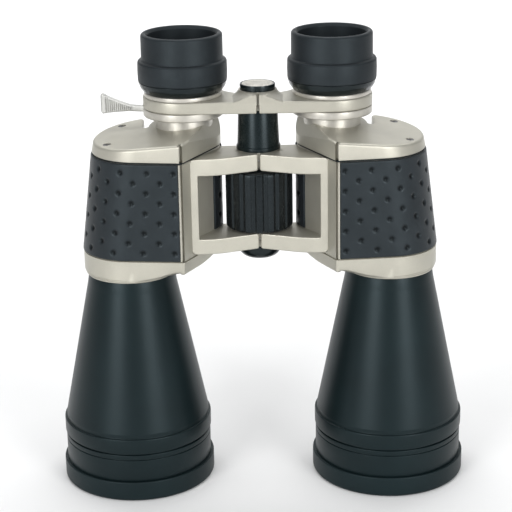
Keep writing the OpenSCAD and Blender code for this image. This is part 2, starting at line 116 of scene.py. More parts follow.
class BinocularSettings(bpy.types.PropertyGroup):
    """Sizes and colours of the finish that a user would change."""
    dimple_radius: bpy.props.FloatProperty(
        name="Dimple radius", description="Radius of the round dimples in the rubber",
        default=1.75 * MM, min=0.0005, max=0.003, unit="LENGTH")
    dimple_depth: bpy.props.FloatProperty(
        name="Dimple depth", description="Depth of the round dimples in the rubber",
        default=0.65 * MM, min=0.0, max=0.0007, unit="LENGTH")
    dimple_column: bpy.props.FloatProperty(
        name="Column pitch", description="Distance between neighbouring columns of dimples",
        default=6.6 * MM, min=0.003, max=0.015, unit="LENGTH")
    dimple_row: bpy.props.FloatProperty(
        name="Row pitch", description="Distance between the rows of one column of dimples",
        default=9.4 * MM, min=0.004, max=0.02, unit="LENGTH")
    wheel_flutes: bpy.props.IntProperty(
        name="Wheel flutes", description="Number of flutes round the focus wheel",
        default=18, min=8, max=36)
    lever_ribs: bpy.props.IntProperty(
        name="Lever ribs", description="Number of ribs on the zoom lever's fan",
        default=13, min=6, max=20)
    silver: bpy.props.FloatVectorProperty(
        name="Silver paint", description="Colour of the satin metallic paint",
        default=(0.43, 0.415, 0.355), min=0.0, max=1.0, subtype="COLOR")
    rubber: bpy.props.FloatVectorProperty(
        name="Armour rubber", description="Colour of the rubber armour",
        default=(0.012, 0.0145, 0.017), min=0.0, max=1.0, subtype="COLOR")
    black_paint: bpy.props.FloatVectorProperty(
        name="Black paint", description="Colour of the satin black barrels",
        default=(0.0035, 0.008, 0.009), min=0.0, max=1.0, subtype="COLOR")


def settings():
    """The scene's settings of this add-on."""
    return bpy.context.scene.binoculars


# ---------- Surfaces ----------

def grid_faces(rows, cols, wrap_rows, wrap_cols):
    """Quads between neighbouring points of a rows by cols grid, wrapping round where asked."""
    r = np.arange(rows if wrap_rows else rows - 1)
    c = np.arange(cols if wrap_cols else cols - 1)
    r, c = (a.ravel() for a in np.meshgrid(r, c, indexing="ij"))
    r2, c2 = (r + 1) % rows, (c + 1) % cols
    return np.stack([r * cols + c, r * cols + c2, r2 * cols + c2, r2 * cols + c], axis=1)


def volume_of(points, faces):
    """Signed volume inside closed faces: the sum of a . (b x c) / 6 over their fan triangles."""
    total = 0.0
    for f in faces:
        f = np.asarray(f)
        if f.ndim == 1:
            f = f[None]
        for k in range(1, f.shape[1] - 1):
            a, b, c = points[f[:, 0]], points[f[:, k]], points[f[:, k + 1]]
            total += float(np.einsum("ij,ij->i", a, np.cross(b, c)).sum()) / 6
    return total


def shell(grid, wrap_rows=False, wrap_cols=True, start=None, end=None):
    """A closed skin over a grid of points (rows, cols, 3). A first or last row is closed by one flat
    face ("flat") or by a fan to the row's mean point ("pole"). Faces are turned to point outwards."""
    rows, cols = grid.shape[:2]
    points = grid.reshape(-1, 3)
    faces = [grid_faces(rows, cols, wrap_rows, wrap_cols)]
    ring = np.arange(cols)
    for way, first in ((start, 0), (end, (rows - 1) * cols)):
        forwards = first > 0
        if way == "flat":
            loop = first + ring
            faces.append(loop if forwards else loop[::-1])
        elif way == "pole":
            points = np.vstack([points, grid.reshape(-1, 3)[first:first + cols].mean(0)])
            tip = np.full(cols, len(points) - 1)
            a, b = first + ring, first + (ring + 1) % cols
            faces.append(np.stack([a, b, tip] if forwards else [b, a, tip], axis=1))
    if volume_of(points, faces) < 0:
        faces = [f[..., ::-1] for f in faces]
    return points, faces


def mirrored(part, side):
    """A shell of the right half, or its mirror image with its faces turned back outwards."""
    points, faces = part
    if side < 0:
        return part
    return points * np.array([-1.0, 1.0, 1.0]), [f[..., ::-1] for f in faces]


def make_piece(name, shells, material, body, replaces=(), smooth_angle=35):
    """One mesh object from shells in millimetres, with its finish, its body and the nodes it stands for."""
    points, corners, sizes, base = [], [], [], 0
    for pts, faces in shells:
        points.append(pts)
        for f in faces:
            f = np.atleast_2d(f)
            corners.append((f + base).ravel())
            sizes.append(np.full(len(f), f.shape[1]))
        base += len(pts)
    points = np.vstack(points) * MM
    corners, sizes = np.concatenate(corners), np.concatenate(sizes)
    starts = np.concatenate([[0], np.cumsum(sizes)[:-1]])
    mesh = bpy.data.meshes.new(name)
    mesh.vertices.add(len(points))
    mesh.vertices.foreach_set("co", points.astype(np.float32).ravel())
    mesh.loops.add(len(corners))
    mesh.loops.foreach_set("vertex_index", corners.astype(np.int32))
    mesh.polygons.add(len(sizes))
    mesh.polygons.foreach_set("loop_start", starts.astype(np.int32))
    mesh.update(calc_edges=True)
    mesh.validate()
    mesh.shade_smooth()
    mesh.set_sharp_from_angle(angle=math.radians(smooth_angle))
    mesh.materials.append(material)
    piece = bpy.data.objects.new(name, mesh)
    bpy.context.scene.collection.objects.link(piece)
    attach(piece, body)
    if replaces:
        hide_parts(*replaces)
    return piece


def filleted(corners, radii, steps=6, closed=True):
    """A polyline with its corners rounded: each corner becomes an arc tangent to both of its sides.
    Returns the points and the unit normals, which lie on the right of the direction of travel."""
    pts = np.asarray(corners, float)
    radii = np.broadcast_to(radii, len(pts))
    out, normals = [], []
    for i, p in enumerate(pts):
        if not closed and i in (0, len(pts) - 1):
            step = (pts[1] - p) if i == 0 else (p - pts[i - 1])
            step = step / np.linalg.norm(step)
            out.append(p[None])
            normals.append(np.array([[step[1], -step[0]]]))
            continue
        a = (p - pts[i - 1]) / np.linalg.norm(p - pts[i - 1])
        nxt = pts[(i + 1) % len(pts)]
        b = (nxt - p) / np.linalg.norm(nxt - p)
        turn = math.atan2(a[0] * b[1] - a[1] * b[0], float(a @ b))
        na = np.array([a[1], -a[0]])
        if abs(turn) < 1e-4:
            continue
        r = max(radii[i], 1e-3)
        reach = r * math.tan(abs(turn) / 2)
        centre = p - a * reach - na * r * math.copysign(1, turn)
        angles = np.linspace(0, turn, steps)
        c, s = np.cos(angles), np.sin(angles)
        n = np.stack([na[0] * c - na[1] * s, na[0] * s + na[1] * c], axis=1)
        out.append(centre + n * r * math.copysign(1, turn))
        normals.append(n)
    return np.vstack(out), np.vstack(normals)


def densified(points, gap, normals=None):
    """The same closed polyline with extra points, so that no side is much longer than gap. Normals, where
    given, are blended along each side."""
    rows = points if normals is None else np.hstack([points, normals])
    out = []
    for p, q in zip(rows, np.roll(rows, -1, axis=0)):
        n = max(1, int(np.linalg.norm((q - p)[:2]) / gap))
        out.append(p + (q - p) * (np.arange(n) / n)[:, None])
    out = np.vstack(out)
    return out if normals is None else (out[:, :2], out[:, 2:])


def lathe(profile, centre, segments=128, ripple=None, arc=None):
    """A profile (r, z) turned round an upright axis: x = cx + r cos t, y = cy + r sin t.
    A closed profile makes a ring. ripple(t, r, z) is added to the radius. arc limits t to a span."""
    profile = np.asarray(profile, float)
    if arc is None:
        t = np.arange(segments) * 2 * math.pi / segments
    else:
        t = np.linspace(math.radians(arc[0]), math.radians(arc[1]), segments)
    r, z = profile[:, :1], profile[:, 1:]
    r = r + (ripple(t[None], r, z) if ripple else 0 * t[None])
    return np.stack([centre[0] + r * np.cos(t), centre[1] + r * np.sin(t), z + 0 * t[None]], axis=2)


def ring_shell(corners, radii, centre, segments=128, ripple=None, steps=6, gap=None):
    """A turned ring: a closed profile of (r, z) corners, each rounded by its radius."""
    profile = filleted(corners, radii, steps)[0]
    if gap:
        profile = densified(profile, gap)
    return shell(lathe(profile, centre, segments, ripple), wrap_rows=True)


def button_shell(corners, radii, centre, segments=96, steps=6):
    """A turned solid: an open profile of (r, z) corners from near the axis at the foot to near it at
    the top, with a pole at each end."""
    profile = filleted(corners, radii, steps, closed=False)[0]
    return shell(lathe(profile, centre, segments), start="pole", end="pole")


def slab(path, normal, z, edge, steps=6):
    """A plan outline carried from z[0] to z[1], with quarter-round edges at the top and the bottom."""
    normal = normal * np.sign(((path - path.mean(0)) * normal).sum())
    a = np.linspace(0, math.pi / 2, steps)
    inset = np.append(edge + 0.4, edge * (1 - np.sin(a)))
    rise = np.append(0.0, edge * (1 - np.cos(a)))
    inset = np.concatenate([inset, inset[::-1]])
    height = np.concatenate([z[0] + rise, (z[1] - rise)[::-1]])
    p = path[None] - normal[None] * inset[:, None, None]
    heights = np.broadcast_to(height[:, None], p.shape[:2])
    return shell(np.dstack([p, heights]), start="flat", end="flat")


def smoothstep(x):
    """0 below 0, 1 above 1, and 3x^2 - 2x^3 between them."""
    x = np.clip(x, 0, 1)
    return x * x * (3 - 2 * x)


# ---------- Housing plan ----------

def arc(centre, radius, a0, a1, n):
    """Points and normals of an arc, in rows of heights: centre and radius hold one value per row."""
    t = np.linspace(0, 1, n)[None]
    angle = a0 + (a1 - a0) * t
    nx, ny = np.cos(angle), np.sin(angle)
    return centre[0] + radius * nx, centre[1] + radius * ny, nx + 0 * radius, ny + 0 * radius


def line(x0, y0, x1, y1, normal, n, t0=0.0, t1=1.0):
    """Points of a straight side between two tangent points, with its constant normal angle."""
    t = np.linspace(t0, t1, n)[None]
    x, y = x0 + (x1 - x0) * t, y0 + (y1 - y0) * t
    return x, y, np.cos(normal) + 0 * x, np.sin(normal) + 0 * x


def joined(*pieces):
    """Columns of several stretches side by side: x, y, nx and ny."""
    return [np.hstack([p[k] for p in pieces]) for k in range(4)]


class Plan:
    """Circles and tangents of the housing's plan at heights z (column), grown outwards by g (column).

    The lobe, the ridge and the eyepiece lobe are circles; two circles with centres a distance D apart
    share a tangent whose outward normal makes the angle acos((r1 - r2) / D) with the line of centres."""

    def __init__(self, z, g):
        z = np.asarray(z, float).reshape(-1, 1)
        g = np.asarray(g, float).reshape(-1, 1) + 0 * z
        self.z, self.g = z + 0 * g, g
        self.lobe = (LOBE_X_LOW + LOBE_LEAN * (self.z - Z_CASTING), LOBE_Y + 0 * self.z)
        self.lobe_r = LOBE_R + g
        self.eye = (EYEPIECE[0] + 0 * g, EYEPIECE[1] + 0 * g)
        self.eye_r = EYE_LOBE_R + g
        self.ridge_r = np.maximum(RIDGE_R + g, RIDGE_MIN_R)
        lack = self.ridge_r - (RIDGE_R + g)
        self.ridge = (RIDGE[0] + RIDGE_SHIFT[0] * lack, RIDGE[1] + RIDGE_SHIFT[1] * lack)
        self.front = self.tangent(self.lobe, self.lobe_r, 1)
        self.lobe_inner = self.tangent(self.lobe, self.lobe_r, -1)
        self.inner = self.tangent(self.eye, self.eye_r, -1)
        self.eye_outer = self.tangent(self.eye, self.eye_r, 1)
        # corner of the lobe at the slot
        x0 = NOTCH_X - NOTCH_FILLET
        reach = np.sqrt((LOBE_R - NOTCH_FILLET) ** 2 - (x0 - self.lobe[0]) ** 2)
        self.corner = (x0 + 0 * z, LOBE_Y + reach)
        self.corner_angle = np.arctan2(reach, x0 - self.lobe[0])

    def tangent(self, other, other_r, way):
        """Angle of the outward normal of the tangent shared by the ridge and another circle."""
        dx, dy = other[0] - self.ridge[0], other[1] - self.ridge[1]
        return np.arctan2(dy, dx) + way * np.arccos((self.ridge_r - other_r) / np.hypot(dx, dy))

    def on(self, centre, radius, angle):
        """The point of a circle at an angle: centre + radius (cos, sin)."""
        return centre[0] + radius * np.cos(angle), centre[1] + radius * np.sin(angle)

    def ridge_arc(self, a0, a1, n=9):
        """The ridge's small arc between two angles."""
        return arc(self.ridge, self.ridge_r, a0, a1, n)

    def front_line(self, n=16, t0=0.0):
        """The front face: the tangent from the ridge to the lobe, from its share t0 on."""
        a = self.front
        return line(*self.on(self.ridge, self.ridge_r, a), *self.on(self.lobe, self.lobe_r, a), a, n, t0)

    def lobe_arc(self, n=72):
        """The lobe from the front face round to the corner at the slot."""
        return arc(self.lobe, self.lobe_r, self.front, self.corner_angle, n)

    def slot_corner(self, n=8):
        """The rounded corner where the lobe turns into the slot."""
        return arc(self.corner, NOTCH_FILLET + self.g, self.corner_angle, 0 * self.g, n)

    def slot_wall(self, y_end, n=8):
        """The slot's straight side along Y, down to y_end."""
        x = NOTCH_X + self.g
        return line(x, self.corner[1], x, y_end + 0 * x, 0 * x, n)

    def slot_floor(self, n=12):
        """The slot's round floor, hollow to the outside, so its radius shrinks as the plan grows."""
        left = NOTCH_X
        right = EYEPIECE[0] - EYE_LOBE_R
        radius = (right - left) / 2 - self.g
        angle = np.linspace(0, math.pi, n)[None] + 0 * radius
        cx, cy = (left + right) / 2, EYEPIECE[1]
        return cx - radius * np.cos(angle), cy - radius * np.sin(angle), np.cos(angle), np.sin(angle)

    def eye_arc(self, a0=math.pi, n=56):
        """The eyepiece lobe from the angle a0 to the inner side's tangent."""
        return arc(self.eye, self.eye_r, a0, self.inner, n)

    def inner_line(self, n=20, t1=1.0):
        """The inner side: the tangent from the eyepiece lobe to the ridge, up to its share t1."""
        a = self.inner
        return line(*self.on(self.eye, self.eye_r, a), *self.on(self.ridge, self.ridge_r, a), a, n, 0.0, t1)

    def whole(self):
        """The full outline, clockwise from above, starting at the ridge."""
        return joined(
            self.ridge_arc(self.inner, self.front), self.front_line(), self.lobe_arc(),
            self.slot_corner(), self.slot_wall(EYEPIECE[1]), self.slot_floor(),
            self.eye_arc(), self.inner_line())

    def armoured(self, n_front=58, n_lobe=236, n_eye=132):
        """The stretch under the rubber, from the front strip round to the inner side."""
        x0, _ = self.on(self.ridge, self.ridge_r, self.front)
        x1, _ = self.on(self.lobe, self.lobe_r, self.front)
        t0 = float(((RUBBER_START_X - x0) / (x1 - x0)).mean())
        return joined(
            self.front_line(n_front, t0), self.lobe_arc(n_lobe),
            self.slot_corner(), self.slot_wall(EYEPIECE[1], 22), self.slot_floor(),
            self.eye_arc(n=n_eye), self.inner_line(10, RUBBER_INNER_END))

    def outer_half(self):
        """The outer lobe by itself, closed across the slot's floor and along the lobe's inner side."""
        y = EYEPIECE[1] + 0 * self.g
        x_in = self.lobe[0] + np.sqrt(self.lobe_r ** 2 - (y - self.lobe[1]) ** 2)
        a_in = np.arctan2(y - self.lobe[1], x_in - self.lobe[0])
        a = self.lobe_inner
        last = line(*self.on(self.lobe, self.lobe_r, a), *self.on(self.ridge, self.ridge_r, a), a, 12)
        return joined(
            self.ridge_arc(self.lobe_inner, self.front), self.front_line(), self.lobe_arc(),
            self.slot_corner(), self.slot_wall(EYEPIECE[1]),
            line(NOTCH_X + self.g, y, x_in, y, math.pi / 2 + 0 * y, 12),
            arc(self.lobe, self.lobe_r, a_in, a, 12), last)

    def inner_half(self):
        """The eyepiece lobe by itself, with both tangents to the ridge."""
        a = self.eye_outer - 2 * math.pi
        left = line(*self.on(self.ridge, self.ridge_r, a), *self.on(self.eye, self.eye_r, a), a, 20)
        return joined(
            self.ridge_arc(self.inner, a), left, self.eye_arc(a + 2 * math.pi, 80), self.inner_line())


def stacked(outline, z):
    """A grid of points from an outline and the height of each row (or of each point)."""
    x, y = outline[0], outline[1]
    return np.stack([x, y, np.broadcast_to(z, x.shape)], axis=2)


def edge_rows(z_edge, radius, rise, steps=6):
    """Offsets and heights of a rounded edge: from the side (0 inset) at z_edge - rise * radius to the
    flat at z_edge (inset by radius), and one more row on the flat, which keeps the flat's shading flat."""
    a = np.linspace(0, math.pi / 2, steps)
    inset = radius * (1 - np.cos(a))
    height = z_edge - rise * radius * (1 - np.sin(a))
    return np.append(-inset, -radius - 0.4), np.append(height, z_edge)


# ---------- Materials ----------

def shader(name):
    """A new material with its node tree, Principled shader, and Object coordinates."""
    mat = bpy.data.materials.new(name)
    mat.use_nodes = True
    tree = mat.node_tree
    bsdf = tree.nodes["Principled BSDF"]
    coords = tree.nodes.new("ShaderNodeTexCoord")
    return mat, tree, bsdf, coords.outputs["Object"]


def noise(tree, coords, scale, detail=3.0, roughness=0.55, stretch=None):
    """Value of a noise texture; scale is features per metre; stretch squeezes it along X, Y, Z."""
    if stretch:
        mapping = tree.nodes.new("ShaderNodeMapping")
        mapping.inputs["Scale"].default_value = stretch
        tree.links.new(coords, mapping.inputs["Vector"])
        coords = mapping.outputs["Vector"]
    tex = tree.nodes.new("ShaderNodeTexNoise")
    tex.inputs["Scale"].default_value = scale
    tex.inputs["Detail"].default_value = detail
    tex.inputs["Roughness"].default_value = roughness
    tree.links.new(coords, tex.inputs["Vector"])
    return tex.outputs["Fac"]


def ranged(tree, value, low, high, start=0.3, stop=0.7):
    """A value mapped from start..stop to low..high."""
    node = tree.nodes.new("ShaderNodeMapRange")
    node.inputs["From Min"].default_value = start
    node.inputs["From Max"].default_value = stop
    node.inputs["To Min"].default_value = low
    node.inputs["To Max"].default_value = high
    tree.links.new(value, node.inputs["Value"])
    return node.outputs["Result"]


def ramp(tree, value, stops):
    """A colour ramp through (place, colour) stops."""
    node = tree.nodes.new("ShaderNodeValToRGB")
    elements = node.color_ramp.elements
    while len(elements) < len(stops):
        elements.new(0.5)
    for element, (place, colour) in zip(elements, stops):
        element.position = place
        element.color = (*colour, 1.0)
    tree.links.new(value, node.inputs["Fac"])
    return node.outputs["Color"]


def bumped(tree, bsdf, value, strength, distance):
    """A bump from a value, added after any bump that the shader already has."""
    node = tree.nodes.new("ShaderNodeBump")
    node.inputs["Strength"].default_value = strength
    node.inputs["Distance"].default_value = distance
    tree.links.new(value, node.inputs["Height"])
    normal = bsdf.inputs["Normal"]
    if normal.is_linked:
        tree.links.new(normal.links[0].from_socket, node.inputs["Normal"])
    tree.links.new(node.outputs["Normal"], normal)


def shade(colour, factor):
    """A colour made lighter or darker."""
    return tuple(min(1.0, c * factor) for c in colour)


def coat_of(bsdf, weight, roughness):
    """A clear coat over the shader."""
    bsdf.inputs["Coat Weight"].default_value = weight
    bsdf.inputs["Coat Roughness"].default_value = roughness


def satin_silver(name="satin_silver_paint", colour=None, roughness=(0.36, 0.46), metallic=0.6):
    """Metallic paint: fine flakes that vary the colour and roughness, a slight orange peel."""
    colour = colour or tuple(settings().silver)
    mat, tree, bsdf, coords = shader(name)
    flakes = noise(tree, coords, 2600, 2.0, 0.6)
    blotch = noise(tree, coords, 60, 4.0, 0.5)
    mix = tree.nodes.new("ShaderNodeMath")
    mix.operation = "MULTIPLY_ADD"
    mix.inputs[1].default_value = 0.35
    tree.links.new(flakes, mix.inputs[0])
    tree.links.new(ranged(tree, blotch, 0.20, 0.45), mix.inputs[2])
    tint = ramp(tree, mix.outputs[0], [
        (0.25, shade(colour, 0.86)), (0.48, colour), (0.75, shade(colour, 1.14))])
    tree.links.new(tint, bsdf.inputs["Base Color"])
    tree.links.new(ranged(tree, flakes, *roughness), bsdf.inputs["Roughness"])
    bsdf.inputs["Metallic"].default_value = metallic
    coat_of(bsdf, 0.12, 0.3)
    bumped(tree, bsdf, noise(tree, coords, 420, 2.0), 0.05, 0.0002)
    bumped(tree, bsdf, flakes, 0.10, 0.00005)
    return mat


def turned_metal(name, colour, roughness=(0.22, 0.34), metallic=1.0):
    """Turned aluminium: fine rings round the upright axis, from noise squeezed along Z."""
    mat, tree, bsdf, coords = shader(name)
    rings = noise(tree, coords, 300, 3.0, 0.6, stretch=(0.05, 0.05, 14.0))
    wear = noise(tree, coords, 140, 4.0, 0.6)
    tint = ramp(tree, wear, [(0.35, shade(colour, 0.88)), (0.5, colour), (0.7, shade(colour, 1.1))])
    tree.links.new(tint, bsdf.inputs["Base Color"])
    tree.links.new(ranged(tree, rings, *roughness), bsdf.inputs["Roughness"])
    bsdf.inputs["Metallic"].default_value = metallic
    bumped(tree, bsdf, rings, 0.12, 0.00008)
    return mat


def grained_rubber(name, colour, roughness=(0.50, 0.62), grain=0.30, sheen=0.02):
    """Moulded rubber: a fine leathery grain, faint dust in its colour, and a soft sheen."""
    mat, tree, bsdf, coords = shader(name)
    fine = noise(tree, coords, 1900, 4.0, 0.65)
    dust = noise(tree, coords, 90, 5.0, 0.6)
    tint = ramp(tree, dust, [(0.30, shade(colour, 0.80)), (0.5, colour), (0.75, shade(colour, 1.35))])
    tree.links.new(tint, bsdf.inputs["Base Color"])
    tree.links.new(ranged(tree, fine, *roughness), bsdf.inputs["Roughness"])
    bsdf.inputs["Sheen Weight"].default_value = sheen
    bsdf.inputs["Sheen Roughness"].default_value = 0.45
    bsdf.inputs["Specular IOR Level"].default_value = 0.30
    bsdf.inputs["Specular Tint"].default_value = (0.78, 0.94, 1.0, 1.0)
    bumped(tree, bsdf, fine, grain, 0.00012)
    return mat


def dimpled_rubber(name, colour):
    """Armour rubber: as the moulded rubber, with painted shade in its dimples: its colour is darkened and its
    specular level lowered with each dimple's depth.
    """
    mat = grained_rubber(name, colour, (0.36, 0.46), 0.20)
    tree, bsdf = mat.node_tree, mat.node_tree.nodes["Principled BSDF"]
    pressed = tree.nodes.new("ShaderNodeAttribute")
    pressed.attribute_name = "pressed"
    depth = pressed.outputs["Fac"]
    base = bsdf.inputs["Base Color"].links[0].from_socket
    # Painted shade: the base colour is scaled from 1 at the surface down to 0.15 in the deeper part of each
    # dimple
    painted_pit_shade = tree.nodes.new("ShaderNodeVectorMath")
    painted_pit_shade.operation = "SCALE"
    tree.links.new(base, painted_pit_shade.inputs[0])
    tree.links.new(ranged(tree, depth, 1.0, 0.15, 0.0, 0.8), painted_pit_shade.inputs["Scale"])
    tree.links.new(painted_pit_shade.outputs["Vector"], bsdf.inputs["Base Color"])
    # The specular level also falls from 0.30 to 0.16 in the dimples, as part of the same painted shade
    tree.links.new(ranged(tree, depth, 0.30, 0.16, 0.0, 0.8), bsdf.inputs["Specular IOR Level"])
    return mat


def satin_black(name, colour, roughness=(0.34, 0.42), coat=0.02):
    """Black barrel paint: a very fine texture that spreads the highlights, with faint mottling."""
    mat, tree, bsdf, coords = shader(name)
    fine = noise(tree, coords, 2400, 3.0, 0.6)
    cloud = noise(tree, coords, 45, 4.0, 0.5)
    tint = ramp(tree, cloud, [(0.3, shade(colour, 0.82)), (0.5, colour), (0.72, shade(colour, 1.25))])
    tree.links.new(tint, bsdf.inputs["Base Color"])
    tree.links.new(ranged(tree, fine, *roughness), bsdf.inputs["Roughness"])
    bsdf.inputs["Specular IOR Level"].default_value = 0.25
    bsdf.inputs["Specular Tint"].default_value = (0.74, 0.93, 1.0, 1.0)
    coat_of(bsdf, coat, 0.28)
    bumped(tree, bsdf, fine, 0.10, 0.00008)
    return mat


def coated_glass(name, tint, coat_colour):
    """Dark coated lens glass: nearly black inside, with a coloured reflection at its surface."""
    mat, tree, bsdf, coords = shader(name)
    haze = noise(tree, coords, 160, 3.0)
    colour = ramp(tree, haze, [(0.3, tint), (0.7, shade(tint, 1.6))])
    tree.links.new(colour, bsdf.inputs["Base Color"])
    bsdf.inputs["Roughness"].default_value = 0.04
    bsdf.inputs["IOR"].default_value = 1.6
    bsdf.inputs["Specular Tint"].default_value = (*coat_colour, 1.0)
    bsdf.inputs["Transmission Weight"].default_value = 0.55
    coat_of(bsdf, 0.6, 0.03)
    bsdf.inputs["Coat Tint"].default_value = (*coat_colour, 1.0)
    return mat


def clear_glass(name):
    """Prism glass: clear, with ground ends that a noise keeps slightly frosted."""
    mat, tree, bsdf, coords = shader(name)
    frost = noise(tree, coords, 900, 3.0)
    tree.links.new(ranged(tree, frost, 0.02, 0.10), bsdf.inputs["Roughness"])
    bsdf.inputs["Base Color"].default_value = (0.86, 0.94, 0.92, 1.0)
    bsdf.inputs["IOR"].default_value = 1.57
    bsdf.inputs["Transmission Weight"].default_value = 0.9
    return mat


def make_materials():
    """All finishes, by name."""
    s = settings()
    rubber, black = tuple(s.rubber), tuple(s.black_paint)
    return {
        "silver": satin_silver(),
        "bright": turned_metal("bright_turned_rings", (0.52, 0.50, 0.45), (0.30, 0.42), 0.6),
        "lever": turned_metal("lever_cast_silver", (0.44, 0.44, 0.42), (0.30, 0.42), 0.5),
        "armour": dimpled_rubber("armour_rubber", rubber),
        "seal": grained_rubber("gasket_rubber", shade(rubber, 0.3), (0.6, 0.7), 0.2, 0.0),
        "cup": grained_rubber("eyecup_rubber", shade(rubber, 0.85), (0.44, 0.56), 0.18),
        "wheel": grained_rubber("wheel_rubber", shade(rubber, 0.35), (0.24, 0.34), 0.12),
        "cone": satin_black("barrel_satin_black", black),
        "hood": satin_black("hood_satin_black", shade(black, 1.15), (0.42, 0.52), 0.0),
        "sleeve": satin_black("sleeve_black", shade(black, 0.7), (0.24, 0.32), 0.12),
        "gloss": satin_black("cap_gloss_black", shade(black, 0.5), (0.16, 0.24), 0.25),
        "inner": satin_black("inner_matte_black", shade(black, 0.5), (0.6, 0.75), 0.0),
        "steel": turned_metal("ground_steel", (0.52, 0.52, 0.53), (0.25, 0.40)),
        "brass": turned_metal("turned_brass", (0.72, 0.52, 0.24), (0.22, 0.36)),
        "dark_tube": turned_metal("dark_anodised_tube", (0.10, 0.10, 0.11), (0.30, 0.42)),
        "lens": coated_glass("objective_coated_glass", (0.010, 0.014, 0.03), (0.55, 0.35, 0.9)),
        "prism": clear_glass("prism_clear_glass"),
    }


MATERIALS = {}


def finish_of(key):
    """One finish; all are made at first use, when the settings exist."""
    if not MATERIALS:
        MATERIALS.update(make_materials())
    return MATERIALS[key]


# ---------- Housing pieces ----------

def slope_height(slope, x, y):
    """Height of a plane that leaves the top of the ridge with a given rise along X and along Y."""
    return RIDGE_TOP[2] + slope[0] * (x - RIDGE_TOP[0]) + slope[1] * (y - RIDGE_TOP[1])


def casting_walls():
    """The housing wall between the covers: the plan carried upwards, a little inside the covers."""
    z = np.array([Z_CASTING, Z_CASTING + 0.4, 125, 137, 149, Z_SEAL - 0.4, Z_SEAL])
    g = np.array([-0.8, -0.45, -0.45, -0.45, -0.45, -0.45, -0.8])
    return shell(stacked(Plan(z, g).whole(), z[:, None]), start="flat", end="flat")


def arm_front(x):
    """Depth of the hinge frame's front face, which slants back towards the middle plane."""
    return -4.5 - 0.3707 * (-SPLIT - x)


def frame_back(x):
    """Depth of the hinge frame's back face, which passes just inside the front of the knuckles."""
    return -1.5 + 0.36 * (-SPLIT - x)


def hinge_frame(bevel=0.45):
    """Two arms and their upright: a C-shaped outline in X and Z with rounded corners, carried from the
    slanting front face back to the knuckles. Its front edge is a quarter round of the bevel's radius, and
    both arms curve upwards with the square of the distance past 15 mm from the middle plane."""
    (low0, low1), (high0, high1) = ARM_LEVELS
    x_wall, x_window = -31.2, -27.6
    corners = [
        (-SPLIT, high1), (-SPLIT, high0), (x_window, high0), (x_window, low1), (-SPLIT, low1), (-SPLIT, low0),
        (x_wall, low0), (x_wall, high1)]
    radii = [0.9, 0.9, 0.4, 0.4, 0.9, 0.9, 2.2, 2.2]
    path, normal = filleted(corners, radii, 7)
    path, normal = densified(path, 1.0, normal)
    normal = normal * np.sign(((path - path.mean(0)) * normal).sum())
    a = np.linspace(0, math.pi / 2, 6)
    inset = np.concatenate([[bevel + 0.25], bevel * (1 - np.sin(a)), [0.0, 0.5]])
    back = np.concatenate([[0.0], bevel * (1 - np.cos(a)), [0.0, 0.5]])
    p = path[None] - normal[None] * inset[:, None, None]
    y = arm_front(p[..., 0]) + back[:, None]
    y[-2:] = frame_back(p[-2:, :, 0]) + np.array([[-0.5], [0.0]])
    z = np.minimum(p[..., 1] + 1.2 * (np.clip(-15 - p[..., 0], 0, None) / 15) ** 2, Z_SEAL - 0.05)
    return shell(np.stack([p[..., 0], y, z], axis=2), start="flat", end="flat")


def arm_web(z0, z1):
    """The arm's flat part between the knuckle and the housing: a plan with rounded corners, carried up."""
    corners = [(-31.5, -8.0), (-9.3, 3.0), (-9.1, 12.4), (-24.0, 12.5), (-31.5, 6.0)]
    path, normal = filleted(corners, 0.8, 5)
    return slab(path, normal, [z0 + 0.03, z1 - 0.03], 0.6)


def knuckle(z0, z1, radius=KNUCKLE_R):
    """A turned hinge knuckle with softened edges."""
    return ring_shell([(5.05, z0), (radius, z0), (radius, z1), (5.05, z1)], [0.2, 0.5, 0.5, 0.2], HINGE, 96)


def knuckle_levels(side):
    """Heights of one half's two knuckles: the right half has the upper one of each pair."""
    out = []
    for z0, z1 in ARM_LEVELS:
        middle = (z0 + z1) / 2
        out.append((middle + 0.25, z1) if side < 0 else (z0, middle - 0.25))
    return out


def rear_cover():
    """The plan carried from the seal to the slanting flat top, with a soft edge all round."""
    inset, height = edge_rows(0.0, 1.3, 1.0, 7)
    g = np.concatenate([[-0.8, -0.3, 0.0], inset])
    z = np.concatenate([[Z_COVER, Z_COVER, Z_COVER + 0.3], [Z_COVER + 6] * len(inset)])
    outline = Plan(z, g).whole()
    heights = np.broadcast_to(z[:, None], outline[0].shape).copy()
    heights[3:] = slope_height(TOP_SLOPE, outline[0][3:], outline[1][3:]) + height[:, None]
    return shell(stacked(outline, heights), start="flat", end="flat")


